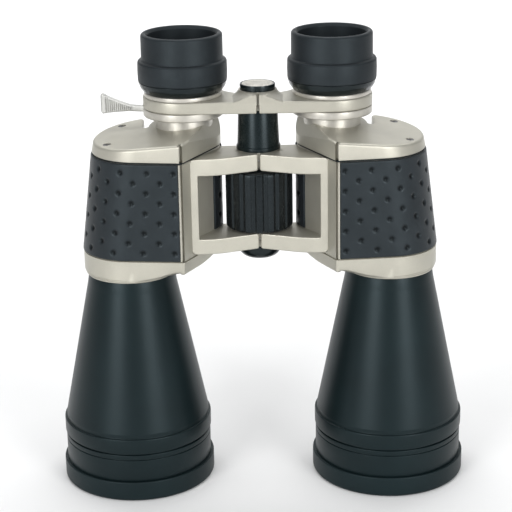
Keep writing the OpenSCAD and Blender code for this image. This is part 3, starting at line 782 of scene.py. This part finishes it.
def front_cover_bowl(collar_r=21.2, steps=6):
    """The outer lobe's side, carried down to a lower edge that rises away from the objective axis, then
    turned under along straight lines to a round collar about that axis."""
    side = Plan(np.array([Z_CASTING]), np.array([0.0])).outer_half()
    x, y = side[0][0], side[1][0]
    ax, ay = OBJECTIVE
    dist = np.hypot(x - ax, y - ay)
    qx, qy = ax + collar_r * (x - ax) / dist, ay + collar_r * (y - ay) / dist
    gap = np.maximum(dist - collar_r, 0.0)
    z_edge = Z_CONE_TOP + 1.1 + 4.2 * smoothstep(gap / 12)
    z_ring = Z_CONE_TOP + 0.8
    bend = np.minimum(1.4, 0.4 + 0.5 * gap)
    rows = [np.stack([x, y, 0 * x + Z_CASTING], 1)]
    for k in (0.5, 1.0):
        rows.append(np.stack([x, y, Z_CASTING + (z_edge + bend - Z_CASTING) * k], 1))
    for a in np.linspace(0, math.pi / 2, steps)[1:]:
        share = np.clip(bend * (1 - math.cos(a)) / np.maximum(gap, 1e-6), 0, 0.45)
        z = z_edge + bend * (1 - math.sin(a))
        rows.append(np.stack([x + (qx - x) * share, y + (qy - y) * share, z], 1))
    for k in (0.5, 0.8, 1.0):
        z = z_edge + (z_ring - z_edge) * k
        first = rows[2 + steps - 1]
        fx, fy = first[:, 0], first[:, 1]
        rows.append(np.stack([fx + (qx - fx) * k, fy + (qy - fy) * k, z], 1))
    ux, uy = (qx - ax) / collar_r, (qy - ay) / collar_r
    for a in np.linspace(0, math.pi / 2, steps)[1:]:
        r = collar_r - 0.8 * (1 - math.cos(a))
        rows.append(np.stack([ax + r * ux, ay + r * uy, 0 * x + z_ring - 0.8 * math.sin(a)], 1))
    rows.append(np.stack([ax + 19 * ux, ay + 19 * uy, 0 * x + z_ring - 0.8], 1))
    return shell(np.array(rows), start="flat", end="flat")


def front_cover_skirt():
    """The eyepiece lobe's part of the front cover: the lobe carried down to an underside that sinks with a
    smooth step from the eyepiece's axis towards the ridge."""
    inset, drop = edge_rows(0.0, 1.2, -1.0, 6)
    outline = Plan(np.full(len(drop) + 1, Z_CASTING), np.append(0.0, inset)).inner_half()
    height = 3.6 + 2.4 * smoothstep((10 - outline[1]) / 20)
    z = Z_CASTING - height + np.append(0.0, drop)[:, None]
    z[0] = Z_CASTING
    return shell(stacked(outline, z), start="flat", end="flat")


def dimple_field(s, z, z_mid):
    """Depth of the staggered dimples: columns every pitch along the outline, alternate columns half a
    row lower, and in each dimple a bowl of depth (1 - (d / r)^2)^2."""
    p = settings()
    pitch, row = p.dimple_column / MM, p.dimple_row / MM
    radius, depth = p.dimple_radius / MM, p.dimple_depth / MM
    column = np.round((s - 2.4) / pitch)
    odd = np.mod(column, 2)
    ds = s - 2.4 - column * pitch
    k = np.round((z - z_mid) / row - odd / 2) + odd / 2
    limit = np.where(odd > 0, 1.6, 2.1)
    dz = z - z_mid - k * row
    q = (ds ** 2 + dz ** 2) / radius ** 2
    inside = (q < 1) & (np.abs(k) <= limit)
    return np.where(inside, depth * (1 - q) ** 1.5, 0.0)


def armour_skin(rows=112, thickness=1.0, proud=0.3, round_r=0.45):
    """The rubber: the armoured stretch of the plan carried upwards as a closed strip, its outer face
    pressed in by the dimples and its edges rounded. Beside the hinge it keeps to the space between the arms.
    Also returns how far each point is pressed in, from 0 to 1, which the rubber's finish uses to paint shade
    into the dimples."""
    z0, z1 = Z_CASTING + 0.5, Z_SEAL - 0.1
    a = np.linspace(0, math.pi / 2, 5)[1:]
    z_face = np.linspace(z0 + round_r, z1 - round_r, rows)
    z_up = z1 - round_r * (1 - np.sin(a))
    g_up = proud - round_r * (1 - np.cos(a))
    z = np.concatenate([z_face, z_up, [z1, z0], (z0 + z1 - z_up)[::-1]])
    g = np.concatenate([np.full(rows, proud), g_up, [proud - thickness] * 2, g_up[::-1]])
    x, y, nx, ny = Plan(z, g).armoured()
    step = np.hypot(np.diff(x, axis=1), np.diff(y, axis=1))
    s = np.hstack([np.zeros((len(z), 1)), np.cumsum(step, axis=1)])
    s = np.broadcast_to(s[rows // 2], s.shape)
    zz = np.broadcast_to(z[:, None], x.shape)
    between = ARM_LEVELS[0][1] + 0.3, ARM_LEVELS[1][0] - 0.3
    squeezed = between[0] + (zz - z0) * (between[1] - between[0]) / (z1 - z0)
    zz = np.where((x > EYEPIECE[0]) & (y < 13), squeezed, zz)
    press = dimple_field(s, zz, (z0 + z1) / 2)
    press[rows:] = 0
    ends = np.minimum(s, s.max() - s)
    soft = round_r * (1 - np.sqrt(np.clip(1 - (1 - np.clip(ends / round_r, 0, 1)) ** 2, 0, 1)))
    soft[rows + len(a):rows + len(a) + 2] = 0
    grid = np.stack([x - nx * (press + soft), y - ny * (press + soft), zz], axis=2)
    return shell(grid.transpose(1, 0, 2), start="flat", end="flat"), press.T / press.max()


class HousingOperator(bpy.types.Operator):
    """Build both prism housings with their hinge frames and knuckles."""
    bl_idname = "binoculars.housing"
    bl_label = "Housings"

    def execute(self, context):
        for name, side in SIDES.items():
            parts = [mirrored(part, side) for part in (
                casting_walls(), hinge_frame(), *(arm_web(*level) for level in ARM_LEVELS))]
            parts += [knuckle(*level) for level in knuckle_levels(side)]
            make_piece(f"{name}_housing_shell", parts, finish_of("silver"), f"{name}_half",
                       [f"{name}_casting"])
        return {"FINISHED"}


SCREWS = ((-68.5, -8.0), (-63.5, 18.0))
SCREW_PIT_R = 1.9
SCREW_PIT_DEPTH = 1.1


def cover_cuts():
    """What is cut out of the rear cover: two round screw pits, the neck's bore and all above the facet."""
    pits = [shell(lathe([(13.2, 150), (13.2, 180)], EYEPIECE, 96), start="flat", end="flat")]
    for x, y in SCREWS:
        z = slope_height(TOP_SLOPE, x, y)
        pits.append(shell(lathe([(SCREW_PIT_R, z - SCREW_PIT_DEPTH), (SCREW_PIT_R, z + 3)], (x, y), 48),
                          start="flat", end="flat"))
    x, y = np.array([-36.0, -10.0, -10.0, -36.0]), np.array([-40.0, -40.0, 40.0, 40.0])
    z = slope_height(FACET_SLOPE, x, y)
    ends = [np.stack([x, y, z], 1), np.stack([x, y, 0 * z + 230], 1)]
    return [*pits, shell(np.stack(ends), start="flat", end="flat")]


def carve(piece, tools):
    """Cuts closed shells, given in millimetres, out of a piece, one after the other."""
    for points, parts in tools:
        faces = [f.tolist() for part in parts for f in np.atleast_2d(part)]
        mesh = bpy.data.meshes.new("cutter")
        mesh.from_pydata((points * MM).tolist(), [], faces)
        tool = bpy.data.objects.new("cutter", mesh)
        bpy.context.scene.collection.objects.link(tool)
        cut = piece.modifiers.new("cut", "BOOLEAN")
        cut.operation, cut.solver, cut.object = "DIFFERENCE", "EXACT", tool
        bpy.context.view_layer.update()
        solid = piece.evaluated_get(bpy.context.evaluated_depsgraph_get())
        result = bpy.data.meshes.new_from_object(solid)
        piece.modifiers.remove(cut)
        piece.data = result
        bpy.data.objects.remove(tool)
        if not len(result.polygons):
            raise RuntimeError(f"nothing was left of {piece.name}")


class CoverOperator(bpy.types.Operator):
    """Build the rear covers with their screw pits, and the dished front covers."""
    bl_idname = "binoculars.covers"
    bl_label = "Covers"

    def execute(self, context):
        for name, side in SIDES.items():
            rear = make_piece(f"{name}_rear_cover_shell", [mirrored(rear_cover(), side)], finish_of("silver"),
                              f"{name}_half", [f"{name}_rear_cover"], 40)
            carve(rear, [mirrored(tool, side) for tool in cover_cuts()])
            make_piece(f"{name}_front_cover_shell",
                       [mirrored(front_cover_bowl(), side), mirrored(front_cover_skirt(), side)],
                       finish_of("silver"), f"{name}_half", [f"{name}_front_cover"])
        return {"FINISHED"}


class ArmourOperator(bpy.types.Operator):
    """Build the dimpled rubber skins."""
    bl_idname = "binoculars.armour"
    bl_label = "Armour"

    def execute(self, context):
        skin, pressed = armour_skin()
        for name, side in SIDES.items():
            piece = make_piece(f"{name}_rubber_skin", [mirrored(skin, side)], finish_of("armour"),
                               f"{name}_half", [f"{name}_armour"], 50)
            # The pressed attribute holds each point's dimple depth, which darkens the rubber's colour there
            # as painted shade
            layer = piece.data.attributes.new("pressed", "FLOAT", "POINT")
            layer.data.foreach_set("value", pressed.astype(np.float32).ravel())
        return {"FINISHED"}


# ---------- Barrels and eyepieces ----------

def objective_shells():
    """Turned parts of one objective: cone, trim band, hood and glass, by node name."""
    c = OBJECTIVE
    cone = ring_shell(
        [(31.2, 24), (35.1, 24), (35.1, 31), (34, 31), (34, 33), (20.9, 97.4), (20, 103), (17, 103),
         (17, 113.5), (15, 113.5), (15, 101.4), (19, 97), (32.2, 33), (32.2, 29), (31.2, 27)],
        [0.1, 0.25, 0.5, 0.3, 0.9, 4.0, 0.5, 0.2, 0.2, 0.2, 2.0, 2.0, 1.0, 0.3, 0.3], c, 192)
    band = ring_shell(
        [(31, 9.7), (34.7, 9.7), (34.7, 20.2), (34.2, 20.5), (34.7, 20.8), (34.7, 22.9), (33.9, 23.1),
         (33.9, 24), (31, 24)], [0.1, 0.3, 0.15, 0.1, 0.15, 0.3, 0.1, 0.1, 0.1], c, 192)
    hood = ring_shell([(32.2, 0), (36.1, 0), (36.1, 9.7), (31, 9.7)], [0.6, 1.6, 0.5, 0.3], c, 192, steps=9)
    r = np.linspace(0.02, 31, 24)
    low = np.stack([r, 13 + 4 * (r / 31) ** 2], 1)
    high = np.stack([r, 24 - 2 * (r / 31) ** 2], 1)[::-1]
    glass = shell(lathe(np.vstack([low, high]), c, 128), start="pole", end="pole")
    return {"objective_tube": cone, "objective_band": band, "objective_hood": hood, "objective_lens": glass}


def eyepiece_shells():
    """Turned parts of one eyepiece, by node name without its side."""
    c = EYEPIECE
    r = np.linspace(11.6, 0.02, 20)
    lens = np.vstack([[(0.02, 187.5), (11.6, 187.5)], np.stack([r, 194.3 - 1.8 * (r / 11.6) ** 2], 1)])
    return {
        "eyepiece_guide": ring_shell([(11.1, 163.6), (13.3, 163.6), (13.3, 173.5), (11.1, 173.5)],
                                     [0.1, 0.1, 0.5, 0.2], c, 128),
        "zoom_ring": ring_shell([(11.1, 174.2), (18.6, 174.2), (18.6, 177.9), (11.1, 177.9)],
                                [0.2, 0.7, 0.45, 0.2], c, 160),
        "collar": ring_shell([(14.5, 183.55), (18, 183.55), (18, 185.4), (14.5, 185.4)],
                             [0.1, 0.15, 0.5, 0.1], c, 160),
        "ocular_cell": ring_shell([(11.6, 181.5), (12.95, 181.5), (12.95, 196), (10.8, 196), (10.8, 194.5),
                                   (11.6, 194.5)], 0.15, c, 128),
        "eyecup_base": ring_shell([(16.8, 185.45), (17.9, 185.45), (18.9, 186.8), (19.7, 188), (20.4, 190.3),
                                   (13, 190.3), (13, 186.8), (16.8, 186.8)],
                                  [0.1, 0.2, 1.0, 2.0, 0.1, 0.1, 0.1, 0.1], c, 160),
        "eyecup": ring_shell([(13, 190.3), (20.1, 190.3), (20.5, 190.9), (20.6, 195), (20.5, 199.0),
                              (20.1, 199.8), (18.75, 200.2), (18.7, 212.3), (16.9, 212.3), (15.8, 210.9),
                              (15.8, 202.8), (13, 202.4)],
                             [0.1, 0.3, 0.5, 5.0, 0.5, 0.5, 0.4, 1.45, 0.9, 0.6, 0.4, 0.3], c, 160, steps=9),
        "eye_lens": shell(lathe(lens, c, 96), start="pole", end="pole"),
    }


class ObjectiveOperator(bpy.types.Operator):
    """Build the objective cones, their trim bands, hoods and glasses."""
    bl_idname = "binoculars.objectives"
    bl_label = "Objectives"

    def execute(self, context):
        looks = {"objective_tube": ("cone", "satin_black"), "objective_band": ("cone", "satin_black"),
                 "objective_hood": ("hood", "hood_rubber"), "objective_lens": ("lens", "coated_glass")}
        for node, part in objective_shells().items():
            key, slot = looks[node]
            for name, side in SIDES.items():
                make_piece(f"{name}_{node}_turned", [mirrored(part, side)], finish_of(key), f"{name}_half",
                           [f"{name}_{node}"], 28)
        return {"FINISHED"}


class EyepieceOperator(bpy.types.Operator):
    """Build the necks, zoom rings, collars, ocular cells, eyecups and eye lenses."""
    bl_idname = "binoculars.eyepieces"
    bl_label = "Eyepieces"

    def execute(self, context):
        looks = {
            "eyepiece_guide": ("bright", "bright_ring", "right_half", "left_half"),
            "zoom_ring": ("bright", "bright_ring", "right_zoom", "left_zoom"),
            "collar": ("bright", "bright_ring", "right_bridge", "left_diopter"),
            "ocular_cell": ("inner", "inner_black", "right_bridge", "left_ocular"),
            "eyecup_base": ("gloss", "gloss_black", "right_bridge", "left_ocular"),
            "eyecup": ("cup", "eyecup_rubber", "right_bridge", "left_ocular"),
            "eye_lens": ("lens", "coated_glass", "right_bridge", "left_ocular"),
        }
        for node, part in eyepiece_shells().items():
            key, slot, *bodies = looks[node]
            for (name, side), body in zip(SIDES.items(), bodies):
                stands_for = f"{name}_{node}"
                if node == "collar":
                    stands_for = "right_collar_ring" if side < 0 else "left_diopter_ring"
                make_piece(f"{name}_{node}_turned", [mirrored(part, side)], finish_of(key), body,
                           [stands_for], 28)
        return {"FINISHED"}


# ---------- Hinge, focus and bridge ----------

def grip_ripple(t, r, z):
    """Flutes of the focus wheel: round-bottomed grooves, as deep as a circle sunk by the flute depth."""
    pitch = 2 * math.pi / settings().wheel_flutes
    u = 15.66 * np.abs((t + pitch / 2) % pitch - pitch / 2)
    groove = np.sqrt(np.clip(1.5 ** 2 - u ** 2, 0, None)) - 0.75
    return -np.clip(groove, 0, None) * smoothstep((r - 13.2) / 1.2)


def emblem_relief():
    """A plain disc whose top is a rim, a flat groove and twelve radial ticks sunk by a tenth."""
    top, low, outer = Z_TOP_CAP[1][2], Z_TOP_CAP[1][2] - 0.4, 7.2
    r = np.concatenate([[0.05], np.linspace(0.6, 6.9, 72), [7.05, outer]])
    t = np.arange(360) * 2 * math.pi / 360
    rr, tt = np.meshgrid(r, t, indexing="ij")
    groove = smoothstep((rr - 5.35) / 0.12) * smoothstep((6.1 - rr) / 0.12)
    across = rr * np.abs((tt + math.pi / 12) % (math.pi / 6) - math.pi / 12)
    ticks = smoothstep((0.34 - across) / 0.12) * smoothstep((rr - 2.6) / 0.15) * smoothstep((4.7 - rr) / 0.15)
    edge = np.clip((rr - 7.05) / 0.15, 0, 1)
    z = top - 0.13 * np.maximum(groove, ticks) - 0.1 * edge
    grid = np.stack([HINGE[0] + rr * np.cos(tt), HINGE[1] + rr * np.sin(tt), z], axis=2)
    foot = grid[-1:].copy()
    foot[..., 2] = low
    return shell(np.vstack([grid, foot]), start="pole", end="flat")


class FocusOperator(bpy.types.Operator):
    """Build the fluted focus wheel, the sleeve, the dome cap and the top cap with its disc."""
    bl_idname = "binoculars.focus"
    bl_label = "Focus drive and caps"

    def execute(self, context):
        z0, z1 = Z_WHEEL[0][2], Z_WHEEL[1][2]
        grip = ring_shell([(12, z0), (15.66, z0), (15.66, z1), (12, z1)], [0.2, 1.3, 1.3, 0.2], HINGE,
                          settings().wheel_flutes * 40, grip_ripple, 8, 1.5)
        make_piece("focus_grip_fluted", [grip], finish_of("wheel"), "focus_wheel",
                   ["focus_grip"], 45)
        z0, z1 = Z_SLEEVE[0][2], Z_SLEEVE[1][2]
        sleeve = ring_shell([(6.5, z0), (10.2, z0), (10.2, z0 + 1.6), (9.75, z0 + 2.1), (9.1, z1), (6.5, z1)],
                            [0.1, 0.25, 0.4, 0.4, 0.3, 0.1], HINGE, 128)
        make_piece("focus_sleeve_turned", [sleeve], finish_of("sleeve"), "right_half",
                   ["focus_sleeve"], 40)
        z0, z1 = Z_FRONT_CAP[0][2], Z_FRONT_CAP[1][2]
        dome = button_shell([(0.05, z0), (10, z0), (10, z1), (8.05, z1), (8.05, z0 + 3.8), (0.05, z0 + 3.8)],
                            [0, 4.5, 0.3, 0.2, 0.3, 0], HINGE, 128, 9)
        make_piece("front_cap_dome", [dome], finish_of("gloss"), "front_cap",
                   ["front_cap"], 40)
        z0, z1 = Z_TOP_CAP[0][2], Z_TOP_CAP[1][2]
        cap = button_shell([(0.05, z0), (8.2, z0), (8.2, z1), (7.3, z1), (7.3, z1 - 0.4), (0.05, z1 - 0.4)],
                           [0, 0.3, 0.5, 0.12, 0.05, 0], HINGE, 128)
        make_piece("top_cap_turned", [cap], finish_of("gloss"), "right_bridge",
                   ["top_cap"], 40)
        make_piece("emblem_disc_relief", [emblem_relief()], finish_of("bright"), "right_bridge",
                   ["emblem_disc"], 40)
        return {"FINISHED"}


BRIDGE_RING_R = 18.6
BRIDGE_GAP = 0.55
BOSS_R = 8.5


def bridge_outline():
    """Plan of half a bridge: most of a circle round the eyepiece, a straight front edge to the middle
    plane, and a back edge that bends away from the hinge."""
    a = np.radians(np.linspace(-90, -320, 120))
    ring_n = np.stack([np.cos(a), np.sin(a)], 1)
    ring_p = EYEPIECE + BRIDGE_RING_R * ring_n
    front = EYEPIECE[1] - BRIDGE_RING_R
    corners = [ring_p[-1], (-14, 17), (-9, 13.2), (-BRIDGE_GAP, HINGE[1]), (-BRIDGE_GAP, front), ring_p[0]]
    p, n = filleted(corners, [0, 3.0, 2.0, 0.3, 0.7, 0], 6, closed=False)
    return np.vstack([ring_p, p[1:-1]]), np.vstack([ring_n, -n[1:-1]])


def boss_outline(r, w, t):
    """Distance from the hinge axis, at the angles t, to the hull of a circle of radius r round the axis and
    of the stretch of the front face within w of the middle plane: first the circle, then the tangent line
    r / cos(t - t0) to the stretch's end, then the front face d / -sin(t)."""
    d = HINGE[1] - (EYEPIECE[1] - BRIDGE_RING_R)
    end = math.pi + np.arctan2(d, w)
    touch = end - np.arccos(r / np.hypot(d, w))
    return np.where(t < touch, r, np.where(t < end, r / np.cos(t - touch), d / -np.sin(np.minimum(t, 4.8))))


def boss_flare(side, z0, z1):
    """The slope from the arm up to the boss: outlines that shrink from a wide one at the arm to a narrow
    one at the boss, with a flat top and a round hole for the other half's knuckle."""
    q = np.linspace(0, 1, 10)[:, None]
    t = np.radians(np.linspace(152, 270, 72))[None]
    rho = boss_outline(11.6 - 2.7 * (1 - (1 - q) ** 1.6), 11.3 - 8.6 * q ** 0.9, t)
    hole = 6.0 if side < 0 else 8.85
    rho = np.vstack([0 * t + hole, rho[:1], rho, 0 * t + hole])
    z = np.vstack([[[z0 - 1.5]], [[z0 - 1.5]], z0 - 0.02 + (z1 - z0 - 0.03) * q, [[z1 - 0.05]]])
    x = np.minimum(HINGE[0] + rho * np.cos(t), -BRIDGE_GAP)
    y = np.maximum(HINGE[1] + rho * np.sin(t), EYEPIECE[1] - BRIDGE_RING_R + 0.02)
    grid = np.stack([x, y, z + 0 * x], axis=2)
    return shell(grid.transpose(1, 0, 2), start="flat", end="flat")


def bridge_parts(side):
    """Half a bridge: its slab, the flare that climbs to the boss, and its knuckle."""
    z0, z1 = Z_BRIDGE, Z_BRIDGE + 5.5
    top = box_mm("right_bridge_arm")[1][2]
    path, normal = bridge_outline()
    parts = [mirrored(slab(path, normal, [z0, z1], 0.7), side), mirrored(boss_flare(side, z1, top), side)]
    levels = (180.6, top) if side < 0 else (z0, 180.4)
    parts.append(ring_shell([(3.55, levels[0]), (BOSS_R, levels[0]), (BOSS_R, levels[1]), (3.55, levels[1])],
                            [0.1, 0.3, 0.3, 0.1], HINGE, 96))
    return parts


class BridgeOperator(bpy.types.Operator):
    """Build both halves of the bridge that carries the eyepieces."""
    bl_idname = "binoculars.bridge"
    bl_label = "Bridge"

    def execute(self, context):
        for name, side in SIDES.items():
            make_piece(f"{name}_bridge_half", bridge_parts(side), finish_of("silver"), f"{name}_bridge",
                       [f"{name}_bridge_arm"], 32)
        return {"FINISHED"}


def lever_fan():
    """The zoom lever: an upright plate along u. Its lower edge falls and its upper edge rises with a power
    of the distance from the neck, its tip is rounded, and both faces carry ribs like raised cosines."""
    ribs = settings().lever_ribs
    ring_r, neck, tip = 18.2, 23.6, 39.5
    z_ring = Z_ZOOM
    u = np.concatenate([np.linspace(ring_r, neck, 14)[:-1], np.linspace(neck, tip - 1.2, 190)[:-1],
                        tip - 1.2 + 1.2 * np.sin(np.linspace(0, math.pi / 2, 12))])[:, None]
    f = np.clip((u - neck) / (tip - neck), 0, 1)
    round_in = 1.2 - np.sqrt(np.clip(1.2 ** 2 - np.clip(u - (tip - 1.2), 0, 1.2) ** 2, 0, None))
    z_lo = z_ring + 0.5 - 1.8 * f ** 1.5 + round_in
    z_hi = z_ring + 3.4 + 5.4 * f ** 1.3 - round_in
    q = np.linspace(0, 1, 26)[None]
    edge = 0.7
    half = 1.3 - 0.35 * smoothstep((u - neck) / 2) * smoothstep((tip - 2.2 - u) / 0.8)
    half = half - 0.5 * np.clip((u - (tip - 0.8)) / 0.8, 0, 1) ** 2
    z_face = z_lo + edge + (z_hi - z_lo - 2 * edge) * q
    first, last = neck + 1.5, tip - 2.5
    pitch = (last - first) / (ribs - 1)
    rib = np.clip(np.cos(2 * math.pi * (u - first) / pitch), 0, 1) ** 0.7
    rib = rib * smoothstep((u - first + pitch / 3) / 0.3) * smoothstep((last + pitch / 3 - u) / 0.3)
    rib = rib * smoothstep((z_face - z_lo - 0.8) / 0.5) * smoothstep((z_hi - 0.8 - z_face) / 0.5)
    v_face = half + 0.55 * rib
    a = np.linspace(0, math.pi / 2, 6)[None, 1:-1]
    v_edge, z_top = half - edge * (1 - np.cos(a)), z_hi - edge * (1 - np.sin(a))
    z_bottom = z_lo + edge * (1 - np.sin(a))
    crown = np.linspace(1, -1, 4)[None]
    v_top = (half - edge) * crown
    v = np.hstack([v_face, v_edge, v_top, -v_edge[:, ::-1],
                   -v_face[:, ::-1], -v_edge, -v_top, v_edge[:, ::-1]])
    z = np.hstack([z_face, z_top, z_hi + 0 * crown, z_top[:, ::-1],
                   z_face[:, ::-1], z_bottom, z_lo + 0 * crown, z_bottom[:, ::-1]])
    lean = math.radians(168)
    along, across = np.array([math.cos(lean), math.sin(lean)]), np.array([-math.sin(lean), math.cos(lean)])
    xy = EYEPIECE + (u + 0 * v)[..., None] * along + v[..., None] * across
    return shell(np.dstack([xy, z]), start="flat", end="flat")


class LeverOperator(bpy.types.Operator):
    """Build the ribbed fan of the zoom lever on the right zoom ring."""
    bl_idname = "binoculars.lever"
    bl_label = "Zoom lever"

    def execute(self, context):
        make_piece("zoom_lever_fan", [lever_fan()], finish_of("lever"), "right_zoom",
                   ["zoom_lever"], 50)
        return {"FINISHED"}


class FinishOperator(bpy.types.Operator):
    """Give each CAD node that is still shown its detailed finish."""
    bl_idname = "binoculars.finishes"
    bl_label = "Finishes of the inner parts"

    def execute(self, context):
        looks = {
            "cover_seal": "seal", "rear_prism": "prism", "front_prism": "prism", "prism_clips": "steel",
            "cover_screws": "dark_tube", "eyepiece_tube": "dark_tube", "zoom_cell": "inner",
            "zoom_lens": "lens"}
        single = {
            "hinge_shaft": "steel", "tripod_bush": "brass", "hinge_washers": "steel", "focus_wheel": "inner",
            "focus_screw": "brass"}
        single.update({f"{name}_{node}": key for node, key in looks.items() for name in SIDES})
        for node, key in single.items():
            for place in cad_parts[node].material_slots:
                place.material = finish_of(key)
        return {"FINISHED"}


# ---------- Stage ----------

def floor_material():
    """Pale matte floor with a very faint mottling."""
    mat, tree, bsdf, coords = shader("pale_floor")
    cloud = noise(tree, coords, 6, 3.0)
    tree.links.new(ramp(tree, cloud, [(0.3, (0.80, 0.80, 0.80)), (0.7, (0.84, 0.84, 0.84))]),
                   bsdf.inputs["Base Color"])
    bsdf.inputs["Roughness"].default_value = 0.85
    return mat


def softbox(name, place, aim, size, power, colour=(1, 1, 1)):
    """A rectangular area light at a place, turned towards a point."""
    data = bpy.data.lights.new(name, "AREA")
    data.shape = "RECTANGLE"
    data.size, data.size_y = size
    data.energy = power
    data.color = colour
    lamp = bpy.data.objects.new(name, data)
    lamp.location = place
    lamp.rotation_euler = (Vector(aim) - Vector(place)).to_track_quat("-Z", "Y").to_euler()
    bpy.context.scene.collection.objects.link(lamp)


class StageOperator(bpy.types.Operator):
    """Set the pale floor, the soft lights and the camera."""
    bl_idname = "binoculars.stage"
    bl_label = "Floor, lights and camera"

    def execute(self, context):
        scene = context.scene
        t = np.linspace(0, math.pi / 2, 12)
        depth = np.concatenate([[-3.0], 1.6 + 0.9 * np.sin(t), [2.5]])
        height = np.concatenate([[0.0], 0.9 - 0.9 * np.cos(t), [4.0]])
        x = np.array([-4.0, 4.0])
        grid = np.stack([x[None] + 0 * depth[:, None], depth[:, None] + 0 * x, height[:, None] + 0 * x], 2)
        mesh = bpy.data.meshes.new("floor_sweep")
        faces = grid_faces(len(depth), 2, False, False)[:, ::-1]
        mesh.from_pydata(grid.reshape(-1, 3).tolist(), [], faces.tolist())
        mesh.shade_smooth()
        mesh.materials.append(floor_material())
        floor = bpy.data.objects.new("floor_sweep", mesh)
        scene.collection.objects.link(floor)
        softbox("key_left", (-0.85, -1.25, 0.50), (0, 0, 0.12), (0.6, 0.9), 14)
        softbox("key_right", (0.85, -1.25, 0.50), (0, 0, 0.12), (0.6, 0.9), 14)
        softbox("top_fill", (0.0, 0.1, 1.5), (0, 0.1, 0.1), (1.2, 1.0), 9)
        softbox("backdrop", (0.0, 0.9, 1.5), (0, 1.9, 0.0), (2.4, 0.6), 30)
        world = bpy.data.worlds.new("studio")
        world.use_nodes = True
        world.node_tree.nodes["Background"].inputs["Color"].default_value = (0.93, 0.95, 0.97, 1)
        world.node_tree.nodes["Background"].inputs["Strength"].default_value = 0.32
        scene.world = world
        cam = bpy.data.cameras.new("camera")
        cam.lens = 113.5
        cam.sensor_width = 36.0
        eye = bpy.data.objects.new("camera", cam)
        eye.matrix_world = Matrix.Translation((-0.002, -0.715, 0.354)) \
            @ Matrix.Rotation(math.radians(71.04), 4, "X") @ Matrix.Rotation(math.radians(-1.0), 4, "Z")
        scene.collection.objects.link(eye)
        scene.camera = eye
        scene.view_settings.view_transform = "Standard"
        return {"FINISHED"}


class BinocularPanel(bpy.types.Panel):
    """Lists the settings and the builders in the 3D view's sidebar."""
    bl_idname = "VIEW3D_PT_binoculars"
    bl_label = "Binoculars"
    bl_space_type = "VIEW_3D"
    bl_region_type = "UI"
    bl_category = "Binoculars"

    def draw(self, context):
        for key in BinocularSettings.__annotations__:
            self.layout.prop(context.scene.binoculars, key)
        for step in STEPS:
            self.layout.operator(step.bl_idname)


STEPS = (
    HousingOperator, CoverOperator, ArmourOperator, ObjectiveOperator, EyepieceOperator, FocusOperator,
    BridgeOperator, LeverOperator, FinishOperator, StageOperator)
CLASSES = (BinocularSettings, *STEPS, BinocularPanel)


def register():
    """Makes the classes and the scene's settings known."""
    for cls in CLASSES:
        bpy.utils.register_class(cls)
    bpy.types.Scene.binoculars = bpy.props.PointerProperty(type=BinocularSettings)


def unregister():
    """Takes them away again."""
    del bpy.types.Scene.binoculars
    for cls in reversed(CLASSES):
        bpy.utils.unregister_class(cls)


def main():
    """Builds every group in order."""
    register()
    for step in STEPS:
        group, action = step.bl_idname.split(".")
        result = getattr(getattr(bpy.ops, group), action)()
        if "FINISHED" not in result:
            raise RuntimeError(f"{step.bl_label} did not finish")


if __name__ == "__main__":
    main()
